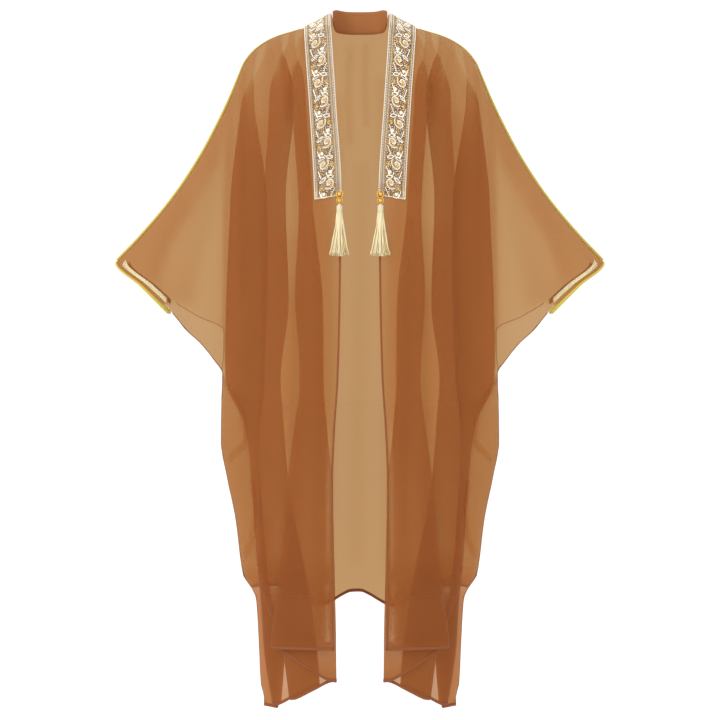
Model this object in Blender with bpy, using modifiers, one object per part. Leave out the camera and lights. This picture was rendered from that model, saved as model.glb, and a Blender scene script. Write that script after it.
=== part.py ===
"""Sheer open-front robe, standing hollow as if worn, with banded fronts and two tassels.

Metres, +Z up. The front faces -Y. The origin lies between the two neck points,
where the shoulders hold the robe up. The name "left" is the wearer's left, at +X.
Each cloth piece is a grid of points worked out from the tables below: its columns
run from the shoulder line down to the hem, its rows run across the cloth.
"""
import math
import random

import bmesh
import bpy
import numpy as np
from mathutils import Vector

# Walls and gaps
CLOTH_WALL = 0.0016
BAND_WALL = 0.0026
BRAID_WALL = 0.0014
COLLAR_WALL = 0.0024
SEAM_GAP = 0.0003
LAY_GAP = 0.0006
EDGE_STRIP = 0.0018

# Neck, shoulders and sleeves
NECK_HALF_WIDTH = 0.058
NECK_DEPTH = 0.074
NECK_DROP = 0.022
COLLAR_TOP = 0.019
COLLAR_LAP = 0.005
CUFF_TOP_X = 0.480
CUFF_TOP_Z = -0.496
CUFF_LOW_Z = -0.597
BACK_HEM_SIDE_Z = -1.148
BACK_HEM_Z = -1.185
BACK_HEM_WAVE = 0.015
BACK_HEM_WAVE_LENGTH = 0.160
CUFF_BULGE = 0.030
LOWEST_Z = -1.37
SHOULDER_STEPS = 90

# How far the cloth stands off the shoulder line, to the front and to the back
ARM_FRONT = 0.040
CHEST_FRONT = 0.038
ARM_BACK = 0.032
BLADE_BACK = 0.072
ARM_ROUND = 0.050
BODY_ROUND = 0.140
ARM_FORWARD = 0.030
FOLD_RADIUS = 0.004
FLAT_STEP = 0.0036
FOLD_START = 0.130
LAYER_START = 0.050

# The shoulder line and the top fold of the sleeve
SHOULDER_COLUMNS = ("x", "z")
SHOULDER_LINE = (
    (0.058, 0.000),
    (0.112, -0.028),
    (0.170, -0.047),
    (0.205, -0.068),
    (0.229, -0.096),
    (0.244, -0.132),
    (0.260, -0.172),
    (0.288, -0.232),
    (0.320, -0.292),
    (0.372, -0.372),
    (0.438, -0.452),
    (0.480, -0.496),
)

# Where each fold of a front lies: its middle, and how far its cloth laps over itself
FOLD_COLUMNS = ("z", "edge", "band", "a", "a_lap", "b", "b_lap", "c", "c_lap")
FRONT_FOLDS = (
    (0.000, 0.058, 0.112, 0.126, 0.000, 0.152, 0.000, 0.196, 0.000),
    (-0.080, 0.054, 0.106, 0.122, 0.010, 0.151, 0.022, 0.199, 0.008),
    (-0.190, 0.047, 0.098, 0.118, 0.027, 0.152, 0.049, 0.221, 0.026),
    (-0.380, 0.036, 0.087, 0.105, 0.027, 0.165, 0.041, 0.218, 0.073),
    (-0.580, 0.038, 0.082, 0.098, 0.053, 0.163, 0.049, 0.222, 0.081),
    (-0.730, 0.042, 0.080, 0.093, 0.046, 0.172, 0.035, 0.226, 0.078),
    (-0.820, 0.048, 0.082, 0.095, 0.062, 0.172, 0.048, 0.211, 0.032),
    (-0.920, 0.052, 0.085, 0.097, 0.085, 0.170, 0.060, 0.205, 0.018),
    (-1.140, 0.051, 0.095, 0.104, 0.112, 0.146, 0.094, 0.188, 0.020),
    (-1.250, 0.050, 0.100, 0.110, 0.128, 0.118, 0.069, 0.170, 0.042),
    (-1.370, 0.046, 0.100, 0.107, 0.126, 0.105, 0.060, 0.164, 0.018),
)

# The side seam: past the open cuff it runs along the underarm and down to the hem
SIDE_COLUMNS = ("z", "seam")
SIDE_LINE = (
    (0.000, 0.480),
    (-0.496, 0.480),
    (-0.545, 0.427),
    (-0.597, 0.374),
    (-0.634, 0.344),
    (-0.660, 0.316),
    (-0.692, 0.291),
    (-0.718, 0.274),
    (-0.771, 0.276),
    (-0.851, 0.277),
    (-0.931, 0.264),
    (-1.010, 0.248),
    (-1.092, 0.238),
    (-1.120, 0.233),
    (-1.148, 0.216),
    (-1.162, 0.208),
    (-1.252, 0.202),
    (-1.332, 0.198),
    (-1.370, 0.190),
)

# Heights of a front's hem at its folds
HEM_COLUMNS = ("edge", "band", "a_out", "a_in", "b_out", "b_in", "c_out", "c_in", "seam")
FRONT_HEM = (-1.250, -1.250, -1.252, -1.313, -1.349, -1.325, -1.366, -1.355, -1.358)

# Steps down the cloth, as shares of the way to the back hem and on to the front hem
UPPER_STEPS = (
    0.0, 0.0012, 0.012, 0.034, 0.052, 0.072, 0.100, 0.130, 0.155, 0.183, 0.212, 0.250, 0.300, 0.345,
    0.400, 0.460, 0.520, 0.585, 0.650, 0.720, 0.790, 0.860, 0.930, 1.0,
)
LOWER_STEPS = (0.25, 0.5, 0.75, 1.0)
SLEEVE_SHARES = (0.16, 0.33, 0.50, 0.66, 0.80)
BACK_SHARES = (0.12, 0.24, 0.36, 0.48, 0.60, 0.72, 0.83)
BACK_WAVES = 5.0
BACK_WAVE_DEPTH = 0.011

# Trims
BAND_END_Z = -0.376
BAND_END_SLANT = 0.008
PIPING_FROM_X = 0.118
PIPING_TO_X = 0.474
PIPING_THIN = 0.0008
PIPING_THICK = 0.0026
CUFF_PIPING_THIN = 0.0020
CUFF_PIPING_THICK = 0.0042
BRAID_FROM = 0.010
BRAID_TO = 0.021

# Tassels
BEAD_RADIUS = 0.0048
BEAD_DROP = 0.0128
LINK_RADIUS = 0.0009
TASSEL_HEAD_RADIUS = 0.0062
TASSEL_HEAD_LENGTH = 0.016
TASSEL_LENGTH = 0.106
TASSEL_HALF_WIDTH = 0.0185
TASSEL_HALF_DEPTH = 0.0068
TASSEL_RINGS = (0.0, 0.42, 0.72, 1.0)
TASSEL_SECTORS = 8
TASSEL_STEPS = 4

COLOURS = {
    "front_cloth": ((0.36, 0.105, 0.028), 0.62, 0.0),
    "back_cloth": ((0.50, 0.270, 0.120), 0.62, 0.0),
    "collar_cloth": ((0.41, 0.150, 0.048), 0.62, 0.0),
    "bead_band": ((0.60, 0.500, 0.320), 0.32, 0.6),
    "lime_piping": ((0.46, 0.360, 0.020), 0.50, 0.0),
    "cuff_braid": ((0.62, 0.580, 0.330), 0.40, 0.4),
    "gold_bead": ((0.78, 0.510, 0.130), 0.22, 1.0),
    "tassel_thread": ((0.86, 0.720, 0.400), 0.55, 0.0),
}


def smooth_table(rows, column, at):
    """Reads one column of a table between its rows, by the first column, with no overshoot."""
    ordered = sorted(rows)
    heights = np.array([row[0] for row in ordered])
    values = np.array([row[column] for row in ordered])
    gaps = np.diff(heights)
    slopes = np.diff(values) / gaps
    tangents = np.zeros_like(values)
    same_way = slopes[:-1] * slopes[1:] > 0
    pair = slopes[:-1] + slopes[1:]
    tangents[1:-1] = np.where(same_way, 2 * slopes[:-1] * slopes[1:] / np.where(same_way, pair, 1), 0)
    tangents[[0, -1]] = slopes[[0, -1]]
    at = np.clip(at, heights[0], heights[-1])
    cell = np.clip(np.searchsorted(heights, at) - 1, 0, len(gaps) - 1)
    share = (at - heights[cell]) / gaps[cell]
    start = (1 + 2 * share) * (1 - share) ** 2 * values[cell]
    end = share ** 2 * (3 - 2 * share) * values[cell + 1]
    lead = share * (1 - share) ** 2 * gaps[cell] * tangents[cell]
    trail = share ** 2 * (share - 1) * gaps[cell] * tangents[cell + 1]
    return start + end + lead + trail


def fold_value(name, z):
    return smooth_table(FRONT_FOLDS, FOLD_COLUMNS.index(name), z)


def side_value(name, z):
    return smooth_table(SIDE_LINE, SIDE_COLUMNS.index(name), z)


def inside_seam(z, inset):
    """A line that keeps inside the side seam, closer to it below the sleeve."""
    return side_value("seam", z) - inset * float(1 - 0.65 * ease(0.60, 0.74, -z))


def hem_value(name):
    return FRONT_HEM[HEM_COLUMNS.index(name)]


def shoulder_height(x):
    return float(smooth_table(SHOULDER_LINE, SHOULDER_COLUMNS.index("z"), x))


def ease(low, high, value):
    share = np.clip((value - low) / (high - low), 0, 1)
    return share * share * (3 - 2 * share)


def quarter_round(share):
    share = np.clip(share, 0, 1)
    return np.sqrt(1 - (1 - share) ** 2)


def slow_round(share):
    return np.sin(np.pi / 2 * np.clip(share, 0, 1))


def neck_height(x):
    """Height of the back neckline, lowest at the middle of the back."""
    share = min(abs(x) / NECK_HALF_WIDTH, 1.0)
    return -NECK_DROP * (1 - share ** 5)


def neck_back(x):
    """How far back the neckline runs, a squarish half oval."""
    share = min(abs(x) / NECK_HALF_WIDTH, 1.0)
    return NECK_DEPTH * (1 - share ** 3.2) ** (1 / 2.6)


def closed_edge(with_neck):
    """The line where front and back are joined, as pairs of ends in the front view."""
    top = [(x, shoulder_height(x)) for x in np.linspace(NECK_HALF_WIDTH, CUFF_TOP_X, SHOULDER_STEPS)]
    if with_neck:
        steps = np.linspace(0, 1, 9)[:-1] * NECK_HALF_WIDTH
        top = [(x, neck_height(x)) for x in steps] + top
    side = [(float(side_value("seam", z)), z) for z in np.linspace(CUFF_LOW_Z, LOWEST_Z, 40)]
    return [(line[i], line[i + 1]) for line in (top, side) for i in range(len(line) - 1)]


FRONT_EDGE_LINES = closed_edge(False)
SHOULDER_EDGES = FRONT_EDGE_LINES[:SHOULDER_STEPS - 1]
BACK_EDGE_LINES = closed_edge(True)


def edge_distance(lines, x, z):
    """Distance in the front view from a point to the nearest joined edge."""
    starts = np.array([line[0] for line in lines])
    runs = np.array([line[1] for line in lines]) - starts
    reach = np.array((x, z)) - starts
    share = np.clip((reach * runs).sum(1) / (runs * runs).sum(1), 0, 1)
    return float(np.hypot(*(reach - runs * share[:, None]).T).min())


def line_depth(x):
    """Depth of the joined edge itself: the arms reach a little forward."""
    return float(-ARM_FORWARD * ease(0.20, 0.48, x))


def body_share(x):
    return float(1 - ease(0.10, 0.28, x))


def front_depth(x, z):
    away = edge_distance(FRONT_EDGE_LINES, x, z)
    arm = ARM_FRONT * quarter_round(away / ARM_ROUND)
    chest = CHEST_FRONT * body_share(x) * slow_round(away / BODY_ROUND)
    return line_depth(x) - SEAM_GAP - float(arm + chest)


def back_depth(x, z):
    away = edge_distance(BACK_EDGE_LINES, x, z)
    start = neck_back(x)
    room = 1 - start / (ARM_BACK + BLADE_BACK)
    arm = ARM_BACK * quarter_round(away / ARM_ROUND)
    blade = BLADE_BACK * body_share(x) * slow_round(away / BODY_ROUND)
    return line_depth(x) + SEAM_GAP + start + room * float(arm + blade)


def column_start(place):
    """Where a column leaves the shoulder line, found by stepping towards it."""
    z = -0.1
    for _ in range(40):
        z = 0.5 * z + 0.5 * shoulder_height(place(z)[0])
    return z


def fold_columns(letter, radius_from, hems):
    """Seven columns over one lapped fold: out, round, back under, round and out again."""
    out_hem, in_hem = hems
    fold_top = shoulder_height(fold_value(letter, 0.0))
    along = (1, 1, 1, 0, -1, -1, -1)
    bends = (-1, 0, -1, 0, 1, 0, 1)
    depths = (-2, -1.1, -0.35, 0, 0.35, 1.1, 2)
    hem_shares = (0, 0, 0, 0.5, 1, 1, 1)
    columns = []
    for index in range(7):
        def place(z, index=index):
            half = fold_value(letter + "_lap", z) / 2 * float(ease(0.0, FOLD_START, fold_top - z))
            lapped = min(half / (2 * FOLD_RADIUS), 1.0)
            flat = (index - 3) * FLAT_STEP
            folded = along[index] * half + bends[index] * min(FOLD_RADIUS, half / 2)
            x = fold_value(letter, z) + (1 - lapped) * flat + lapped * folded
            return float(x), radius_from + depths[index] * FOLD_RADIUS
        columns.append((out_hem + (in_hem - out_hem) * hem_shares[index], place))
    return columns


def plain_column(name, offset, hem):
    return (hem, lambda z: (float(fold_value(name, z)), offset))


def between(left, right, share):
    """A column part of the way from one column to the next."""
    def place(z):
        x0, d0 = left[1](z)
        x1, d1 = right[1](z)
        return x0 + (x1 - x0) * share, d0 + (d1 - d0) * share
    return (left[0] + (right[0] - left[0]) * share, place)


def front_columns():
    layer = 2 * FOLD_RADIUS
    edge = plain_column("edge", -6 * layer, hem_value("edge"))
    band = plain_column("band", -6 * layer, hem_value("band"))
    folds = [
        fold_columns("a", -5 * layer, (hem_value("a_out"), hem_value("a_in"))),
        fold_columns("b", -3 * layer, (hem_value("b_out"), hem_value("b_in"))),
        fold_columns("c", -1 * layer, (hem_value("c_out"), hem_value("c_in"))),
    ]
    columns = [edge, between(edge, band, 0.36), between(edge, band, 0.70), band]
    for fold in folds:
        columns.append(between(columns[-1], fold[0], 0.5))
        columns += fold
    inner = columns[-1]
    for share in SLEEVE_SHARES:
        def place(z, share=share):
            x, offset = inner[1](z)
            return x + (inside_seam(z, BRAID_TO) - x) * share, offset * (1 - share)
        columns.append((hem_value("c_in"), place))
    for inset in (BRAID_TO, BRAID_FROM):
        columns.append((hem_value("seam"), lambda z, inset=inset: (inside_seam(z, inset), 0.0)))
    for inset in (EDGE_STRIP, 0.0):
        columns.append((hem_value("seam"), lambda z, inset=inset: (side_value("seam", z) - inset, 0.0)))
    return columns


def front_grid(side):
    """Points of one front with its half of the sleeve, row by row."""
    rows = []
    columns = [(column_start(place), hem, place) for hem, place in front_columns()]
    levels = [(0, step) for step in UPPER_STEPS] + [(1, step) for step in LOWER_STEPS]
    for stage, step in levels:
        row = []
        for start, hem, place in columns:
            begin = start if stage == 0 else BACK_HEM_SIDE_Z
            end = BACK_HEM_SIDE_Z if stage == 0 else hem
            z = begin + (end - begin) * step
            x, offset = place(z)
            drop = edge_distance(SHOULDER_EDGES, x, z)
            if z > start - 1e-6:
                z = shoulder_height(x)
                drop = 0.0
            y = front_depth(x, z) + offset * float(ease(0.0, LAYER_START, drop))
            row.append((side * x, y, z))
        rows.append(row)
    return np.array(rows)


def back_half():
    """Columns of half the back, from the middle out to the side seam."""
    columns = []
    for share in (0.0, 0.25, 0.5, 0.75, 0.93):
        x = share * NECK_HALF_WIDTH
        columns.append((neck_height(x), lambda z, x=x: (float(x * (1 + 0.25 * ease(0.1, 0.9, -z))), None)))
    neck = lambda z: float(NECK_HALF_WIDTH * (1 + 0.25 * ease(0.1, 0.9, -z)))
    places = [lambda z: (neck(z), None)]
    for share in BACK_SHARES:
        places.append(lambda z, share=share: (neck(z) + share * (inside_seam(z, BRAID_TO) - neck(z)), None))
    for away in (BRAID_TO, BRAID_FROM):
        places.append(lambda z, away=away: (inside_seam(z, away), None))
    columns += [(column_start(place), place) for place in places]
    for turn in (50.0, 22.0, 6.0, 0.0):
        start = shoulder_height(CUFF_TOP_X - BRAID_FROM * (1 - math.cos(math.radians(turn))))
        columns.append((start, lambda z, turn=turn: (inside_seam(z, BRAID_FROM), math.radians(turn))))
    return columns


def back_hem_height(x):
    """The back hem, a shallow uneven wave that lifts towards the side seams."""
    wave = BACK_HEM_Z + BACK_HEM_WAVE * math.cos(2 * math.pi * (x + 0.010) / BACK_HEM_WAVE_LENGTH)
    lift = float(ease(0.08, 0.21, abs(x)))
    return wave + (BACK_HEM_SIDE_Z - wave) * lift


def cuff_bulge(z):
    """How far the back of the cuff stands open, none at its two ends."""
    share = np.clip((CUFF_TOP_Z - z) / (CUFF_TOP_Z - CUFF_LOW_Z), 0, 1)
    return CUFF_BULGE * math.sin(math.pi * float(share)) ** 0.7


def back_point(side, start, place, step):
    hem = back_hem_height(side * place(BACK_HEM_SIDE_Z)[0])
    z = start + (hem - start) * step
    x, turn = place(z)
    if turn is not None:
        seam = float(side_value("seam", z))
        outer_y = back_depth(x, z)
        seam_y = line_depth(seam) + SEAM_GAP + cuff_bulge(z)
        x = seam - (seam - x) * (1 - math.cos(turn))
        y = seam_y + (outer_y - seam_y) * math.sin(turn)
        if step == 0.0:
            z = shoulder_height(x)
            y = line_depth(x) + SEAM_GAP
        return (side * x, y, z)
    if step == 0.0 and x > NECK_HALF_WIDTH - 1e-6:
        z = shoulder_height(x)
    y = back_depth(x, z)
    ripple = math.sin(2 * math.pi * BACK_WAVES * (side * x + 0.03) + 1.1 * math.sin(9 * side * x))
    y += BACK_WAVE_DEPTH * ripple * float(ease(0.15, 0.95, -z)) * body_share(x * 0.9)
    return (side * x, y, z)


def back_grid():
    """Points of the whole back, from the wearer's right side to the left."""
    half = back_half()
    rows = []
    for step in UPPER_STEPS:
        right = [back_point(-1, start, place, step) for start, place in half[:0:-1]]
        left = [back_point(1, start, place, step) for start, place in half]
        rows.append(right + left)
    return np.array(rows)


def outward(grid, away):
    """Unit normals of a grid of points, each the mean of the cells round it."""
    across = grid[1:, 1:] + grid[:-1, 1:] - grid[1:, :-1] - grid[:-1, :-1]
    down = grid[1:, 1:] + grid[1:, :-1] - grid[:-1, 1:] - grid[:-1, :-1]
    cells = np.cross(across, down)
    cells /= np.linalg.norm(cells, axis=2, keepdims=True) + 1e-12
    around = np.pad(cells, ((1, 1), (1, 1), (0, 0)), mode="edge")
    normals = around[1:, 1:] + around[:-1, 1:] + around[1:, :-1] + around[:-1, :-1]
    normals /= np.linalg.norm(normals, axis=2, keepdims=True) + 1e-12
    facing = (normals * np.array(away)).sum(axis=2)
    return normals * (1 if facing.mean() > 0 else -1)


def lay_on(grid, normals, under_wall, wall):
    """Moves points out of a panel, so that a second layer lies on it."""
    return grid + normals * (under_wall / 2 + LAY_GAP + wall / 2)


def make_material(name):
    colour, roughness, metallic = COLOURS[name]
    material = bpy.data.materials.new(name)
    material.use_nodes = True
    shader = material.node_tree.nodes["Principled BSDF"]
    shader.inputs["Base Color"].default_value = (*colour, 1.0)
    shader.inputs["Roughness"].default_value = roughness
    shader.inputs["Metallic"].default_value = metallic
    material.diffuse_color = (*colour, 1.0)
    return material


def add_object(name, data, material, collection):
    item = bpy.data.objects.new(name, data)
    data.materials.append(make_material(material))
    collection.objects.link(item)
    return item


def add_sheet(name, grid, wall, material, collection):
    """A cloth wall: a flat grid bent to the given points and thickened both ways."""
    rows, columns = grid.shape[:2]
    mesh = bpy.data.meshes.new(name)
    work = bmesh.new()
    bmesh.ops.create_grid(work, x_segments=columns - 1, y_segments=rows - 1, size=1.0)
    work.verts.ensure_lookup_table()
    for index, point in enumerate(grid.reshape(-1, 3)):
        work.verts[index].co = Vector([float(value) for value in point])
    work.to_mesh(mesh)
    work.free()
    mesh.shade_smooth()
    mesh.set_sharp_from_angle(angle=math.radians(50))
    item = add_object(name, mesh, material, collection)
    solidify = item.modifiers.new("wall", "SOLIDIFY")
    solidify.thickness = wall
    solidify.offset = 0.0
    solidify.use_rim = True
    return item


def add_cord(name, points, radii, closed, material, collection):
    """A round cord through the points, each with its own radius."""
    curve = bpy.data.curves.new(name, "CURVE")
    curve.dimensions = "3D"
    curve.bevel_depth = 1.0
    curve.bevel_resolution = 1
    curve.use_fill_caps = True
    curve.resolution_u = 1
    curve.render_resolution_u = 0
    spline = curve.splines.new("POLY")
    spline.points.add(len(points) - 1)
    for point, radius, place in zip(spline.points, radii, points):
        point.co = (*[float(value) for value in place], 1.0)
        point.radius = radius
    spline.use_cyclic_u = closed
    return add_object(name, curve, material, collection)


def add_bead(name, centre, collection):
    mesh = bpy.data.meshes.new(name)
    work = bmesh.new()
    bmesh.ops.create_uvsphere(work, u_segments=8, v_segments=6, radius=BEAD_RADIUS)
    work.to_mesh(mesh)
    work.free()
    mesh.shade_smooth()
    bead = add_object(name, mesh, "gold_bead", collection)
    bead.location = centre
    return bead


def collar_grid():
    """The band that stands round the back of the neck, lapped inside the neckline."""
    inset = CLOTH_WALL + SEAM_GAP + COLLAR_WALL / 2
    rows = []
    for rise in (0.0, 0.33, 0.67, 1.0):
        row = []
        for angle in np.linspace(-1, 1, 19):
            share = math.sin(angle * math.pi / 2) * 0.985
            x = share * (NECK_HALF_WIDTH - inset)
            y = max(neck_back(share * NECK_HALF_WIDTH) - inset, 0.002)
            back = y / NECK_DEPTH
            low = -NECK_DROP * min(1.0, 1.6 * back) - COLLAR_LAP
            high = COLLAR_TOP - (COLLAR_TOP + 0.001) * (1 - min(1.0, 1.35 * back)) ** 1.5
            row.append((x, y, low + (high - low) * rise))
        rows.append(row)
    return np.array(rows)


def band_grid(front):
    """The embroidered band, laid on the front from the shoulder line down its edge."""
    strip = front[:, :4]
    raised = lay_on(strip, outward(front, (0, -1, 0))[:, :4], CLOTH_WALL, BAND_WALL)
    last = int(np.searchsorted(-strip[:, 3, 2], -BAND_END_Z))
    end = []
    for column in range(4):
        below = int(np.searchsorted(-strip[:, column, 2], -BAND_END_Z))
        target = BAND_END_Z - BAND_END_SLANT * column / 3
        upper, lower = raised[below - 1, column], raised[below, column]
        end.append(upper + (lower - upper) * (upper[2] - target) / (upper[2] - lower[2]))
    return np.concatenate([raised[:last], np.array(end)[None]])


def cuff_rows():
    return UPPER_STEPS.index(0.155) + 1


def braid_grid(panel, columns, away):
    """A narrow strip on the cuff, a little in from its edge, between two panel columns."""
    raised = lay_on(panel, outward(panel, away), CLOTH_WALL, BRAID_WALL)
    return raised[2:cuff_rows(), columns]


def shoulder_piping(front, back, side):
    """Points and radii of the cord along the shoulder line and the sleeve's top fold."""
    edges = [row[np.argsort(np.abs(row[:, 0]))] for row in (front[0], back[0][side * back[0][:, 0] > 0])]
    corners = np.concatenate([np.abs(edge[:, 0]) for edge in edges])
    inside = (corners > PIPING_FROM_X + 0.007) & (corners < PIPING_TO_X - 0.004)
    places = np.unique(np.round([PIPING_FROM_X, *corners[inside], PIPING_TO_X], 3))
    points = []
    radii = []
    for x in places:
        slope = (shoulder_height(x + 0.004) - shoulder_height(x - 0.004)) / 0.008
        rise = np.array((-slope, 1.0)) / math.hypot(slope, 1.0)
        radius = PIPING_THIN + (PIPING_THICK - PIPING_THIN) * float(ease(0.14, 0.28, x))
        lift = CLOTH_WALL / 2 + 2 * SEAM_GAP + radius
        cloth_top = max(float(np.interp(x, np.abs(edge[:, 0]), edge[:, 2])) for edge in edges)
        z = cloth_top + rise[1] * lift
        points.append((side * (x + rise[0] * lift), line_depth(x), z))
        radii.append(radius)
    return points, radii


def cuff_loop(front, back_edge):
    """Points and radii of the cord round the mouth of one cuff."""
    down = [front[row, -1] for row in range(cuff_rows())]
    up = [back_edge[row] for row in reversed(range(cuff_rows()))]
    run = np.array(down[-1]) - np.array(down[0])
    out = np.array((-run[2], 0.0, run[0])) / math.hypot(run[0], run[2])
    out = out if out[2] < 0 else -out
    top = down[0][2]
    points = []
    radii = []
    for point in down[1:] + up[1:-1]:
        share = min(max((top - point[2]) / (CUFF_TOP_Z - CUFF_LOW_Z), 0.0), 1.0)
        radius = CUFF_PIPING_THIN + (CUFF_PIPING_THICK - CUFF_PIPING_THIN) * share ** 2
        points.append(np.array(point) + out * (radius + CLOTH_WALL))
        radii.append(radius)
    return points, radii


def add_tassel(name, top, collection):
    """One tassel: a wrapped head whose underside is drawn out into separate strands."""
    rng = random.Random(11)
    mesh = bpy.data.meshes.new(name)
    work = bmesh.new()
    # Head: rings of a lathe, from the neck at the bead down to the wrapped end
    profile = ((0.0012, 0.0), (0.0014, 0.0030), (0.0040, 0.0045), (1.0, 0.0075), (1.0, 1.0))
    loops = []
    sides = TASSEL_SECTORS
    for radius, drop in profile:
        radius = TASSEL_HEAD_RADIUS if radius == 1.0 else radius
        drop = TASSEL_HEAD_LENGTH if drop == 1.0 else drop
        ring = []
        for index in range(sides):
            turn = 2 * math.pi * index / sides
            ring.append(work.verts.new((radius * math.cos(turn), radius * math.sin(turn), -drop)))
        loops.append(ring)
    work.faces.new(loops[0])
    for upper, lower in zip(loops, loops[1:]):
        for index in range(sides):
            after = (index + 1) % sides
            work.faces.new((upper[index], upper[after], lower[after], lower[index]))
    # Underside: rings of cells, each of which becomes the root of a strand
    inner_rings = [loops[-1]]
    for share in TASSEL_RINGS[-2:0:-1]:
        ring = [work.verts.new((v.co.x * share, v.co.y * share, -TASSEL_HEAD_LENGTH)) for v in loops[-1]]
        inner_rings.append(ring)
    roots = []
    for outer, inner in zip(inner_rings, inner_rings[1:]):
        for index in range(sides):
            after = (index + 1) % sides
            roots.append(work.faces.new((outer[index], outer[after], inner[after], inner[index])))
    work.faces.new(inner_rings[-1])
    bmesh.ops.recalc_face_normals(work, faces=work.faces)
    bmesh.ops.inset_individual(work, faces=roots, thickness=0.00030, depth=0.0)
    for root in roots:
        centre = root.calc_center_median()
        spread = Vector((centre.x / TASSEL_HEAD_RADIUS, centre.y / TASSEL_HEAD_RADIUS, 0.0))
        length = (TASSEL_LENGTH - TASSEL_HEAD_LENGTH) * (1 - 0.05 * rng.random())
        tip = Vector((spread.x * TASSEL_HALF_WIDTH * 0.98, spread.y * TASSEL_HALF_DEPTH * 0.98, 0.0))
        face = root
        for step in range(1, TASSEL_STEPS + 1):
            share = step / TASSEL_STEPS
            middle = centre.lerp(tip, share ** 0.8)
            middle.z = -TASSEL_HEAD_LENGTH - length * share
            result = bmesh.ops.extrude_discrete_faces(work, faces=[face])
            face = result["faces"][0]
            bmesh.ops.translate(work, verts=face.verts, vec=middle - face.calc_center_median())
    work.to_mesh(mesh)
    work.free()
    tassel = add_object(name, mesh, "tassel_thread", collection)
    tassel.location = top
    return tassel


def build():
    for item in list(bpy.data.objects):
        bpy.data.objects.remove(item, do_unlink=True)
    collection = bpy.data.collections.new("robe")
    bpy.context.scene.collection.children.link(collection)

    back = back_grid()
    add_sheet("back_panel", back, CLOTH_WALL, "back_cloth", collection)
    add_sheet("neck_collar", collar_grid(), COLLAR_WALL, "collar_cloth", collection)

    for side, hand in ((1, "left"), (-1, "right")):
        front = front_grid(side)
        back_column = -1 if side == 1 else 0
        add_sheet(f"front_panel_{hand}", front, CLOTH_WALL, "front_cloth", collection)

        band = band_grid(front)
        add_sheet(f"beaded_band_{hand}", band, BAND_WALL, "bead_band", collection)

        points, radii = shoulder_piping(front, back, side)
        add_cord(f"sleeve_piping_{hand}", points, radii, False, "lime_piping", collection)
        points, radii = cuff_loop(front, back[:, back_column])
        add_cord(f"cuff_piping_{hand}", points, radii, True, "lime_piping", collection)
        front_braid = braid_grid(front, slice(-4, -2), (0, -1, 0))
        add_sheet(f"cuff_braid_front_{hand}", front_braid, BRAID_WALL, "cuff_braid", collection)
        back_columns = slice(-6, -4) if side == 1 else slice(4, 6)
        back_braid = braid_grid(back, back_columns, (0, 1, 0))
        add_sheet(f"cuff_braid_back_{hand}", back_braid, BRAID_WALL, "cuff_braid", collection)

        corner = band[-1, 0]
        seat = BAND_WALL / 2 + SEAM_GAP + BEAD_RADIUS
        upper = Vector((corner[0] + side * 0.003, corner[1] - seat, corner[2] + 0.0020))
        lower = upper - Vector((0.0, 0.0, BEAD_DROP))
        add_bead(f"tassel_bead_upper_{hand}", upper, collection)
        add_bead(f"tassel_bead_lower_{hand}", lower, collection)
        link_top = upper - Vector((0.0, 0.0, BEAD_RADIUS + SEAM_GAP))
        link_end = lower + Vector((0.0, 0.0, BEAD_RADIUS + SEAM_GAP))
        link_radii = (LINK_RADIUS, LINK_RADIUS)
        link = (link_top, link_end)
        add_cord(f"tassel_link_{hand}", link, link_radii, False, "gold_bead", collection)
        head_top = lower - Vector((0.0, 0.0, BEAD_RADIUS + SEAM_GAP))
        add_tassel(f"tassel_{hand}", head_top, collection)


build()
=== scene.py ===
"""Looks of the sheer open-front robe: fine cloth shells, embroidery, braids, piping and tassels.

Metres, +Z up, the front faces -Y. The cloth points come from the same tables as the solids.
"""
import math
import random

import bpy
import numpy as np
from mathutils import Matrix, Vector


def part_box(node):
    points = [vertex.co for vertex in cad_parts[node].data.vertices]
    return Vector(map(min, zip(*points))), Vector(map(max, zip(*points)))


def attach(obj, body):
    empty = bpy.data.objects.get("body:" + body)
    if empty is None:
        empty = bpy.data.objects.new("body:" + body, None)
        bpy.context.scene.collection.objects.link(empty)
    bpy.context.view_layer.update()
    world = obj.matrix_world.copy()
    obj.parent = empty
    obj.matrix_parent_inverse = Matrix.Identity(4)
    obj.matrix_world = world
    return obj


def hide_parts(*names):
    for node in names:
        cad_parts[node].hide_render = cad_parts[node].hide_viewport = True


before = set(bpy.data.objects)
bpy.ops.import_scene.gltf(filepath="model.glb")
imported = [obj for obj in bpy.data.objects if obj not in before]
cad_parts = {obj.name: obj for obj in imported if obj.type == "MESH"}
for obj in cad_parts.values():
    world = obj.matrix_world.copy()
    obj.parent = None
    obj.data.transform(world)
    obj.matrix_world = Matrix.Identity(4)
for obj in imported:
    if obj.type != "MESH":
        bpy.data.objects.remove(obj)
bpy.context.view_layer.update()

# Neck, shoulders and sleeves
NECK_HALF_WIDTH = 0.058
NECK_DEPTH = 0.074
NECK_DROP = 0.022
COLLAR_TOP = 0.019
COLLAR_LAP = 0.005
CUFF_TOP_X = 0.480
CUFF_TOP_Z = -0.496
CUFF_LOW_Z = -0.597
CUFF_BULGE = 0.030
BACK_HEM_SIDE_Z = -1.148
BACK_HEM_Z = -1.185
BACK_HEM_WAVE = 0.015
BACK_HEM_WAVE_LENGTH = 0.160
LOWEST_Z = -1.37
SHOULDER_STEPS = 90

# How far the cloth stands off the shoulder line
ARM_FRONT = 0.040
CHEST_FRONT = 0.038
ARM_BACK = 0.032
BLADE_BACK = 0.072
ARM_ROUND = 0.050
BODY_ROUND = 0.140
ARM_FORWARD = 0.030

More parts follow.
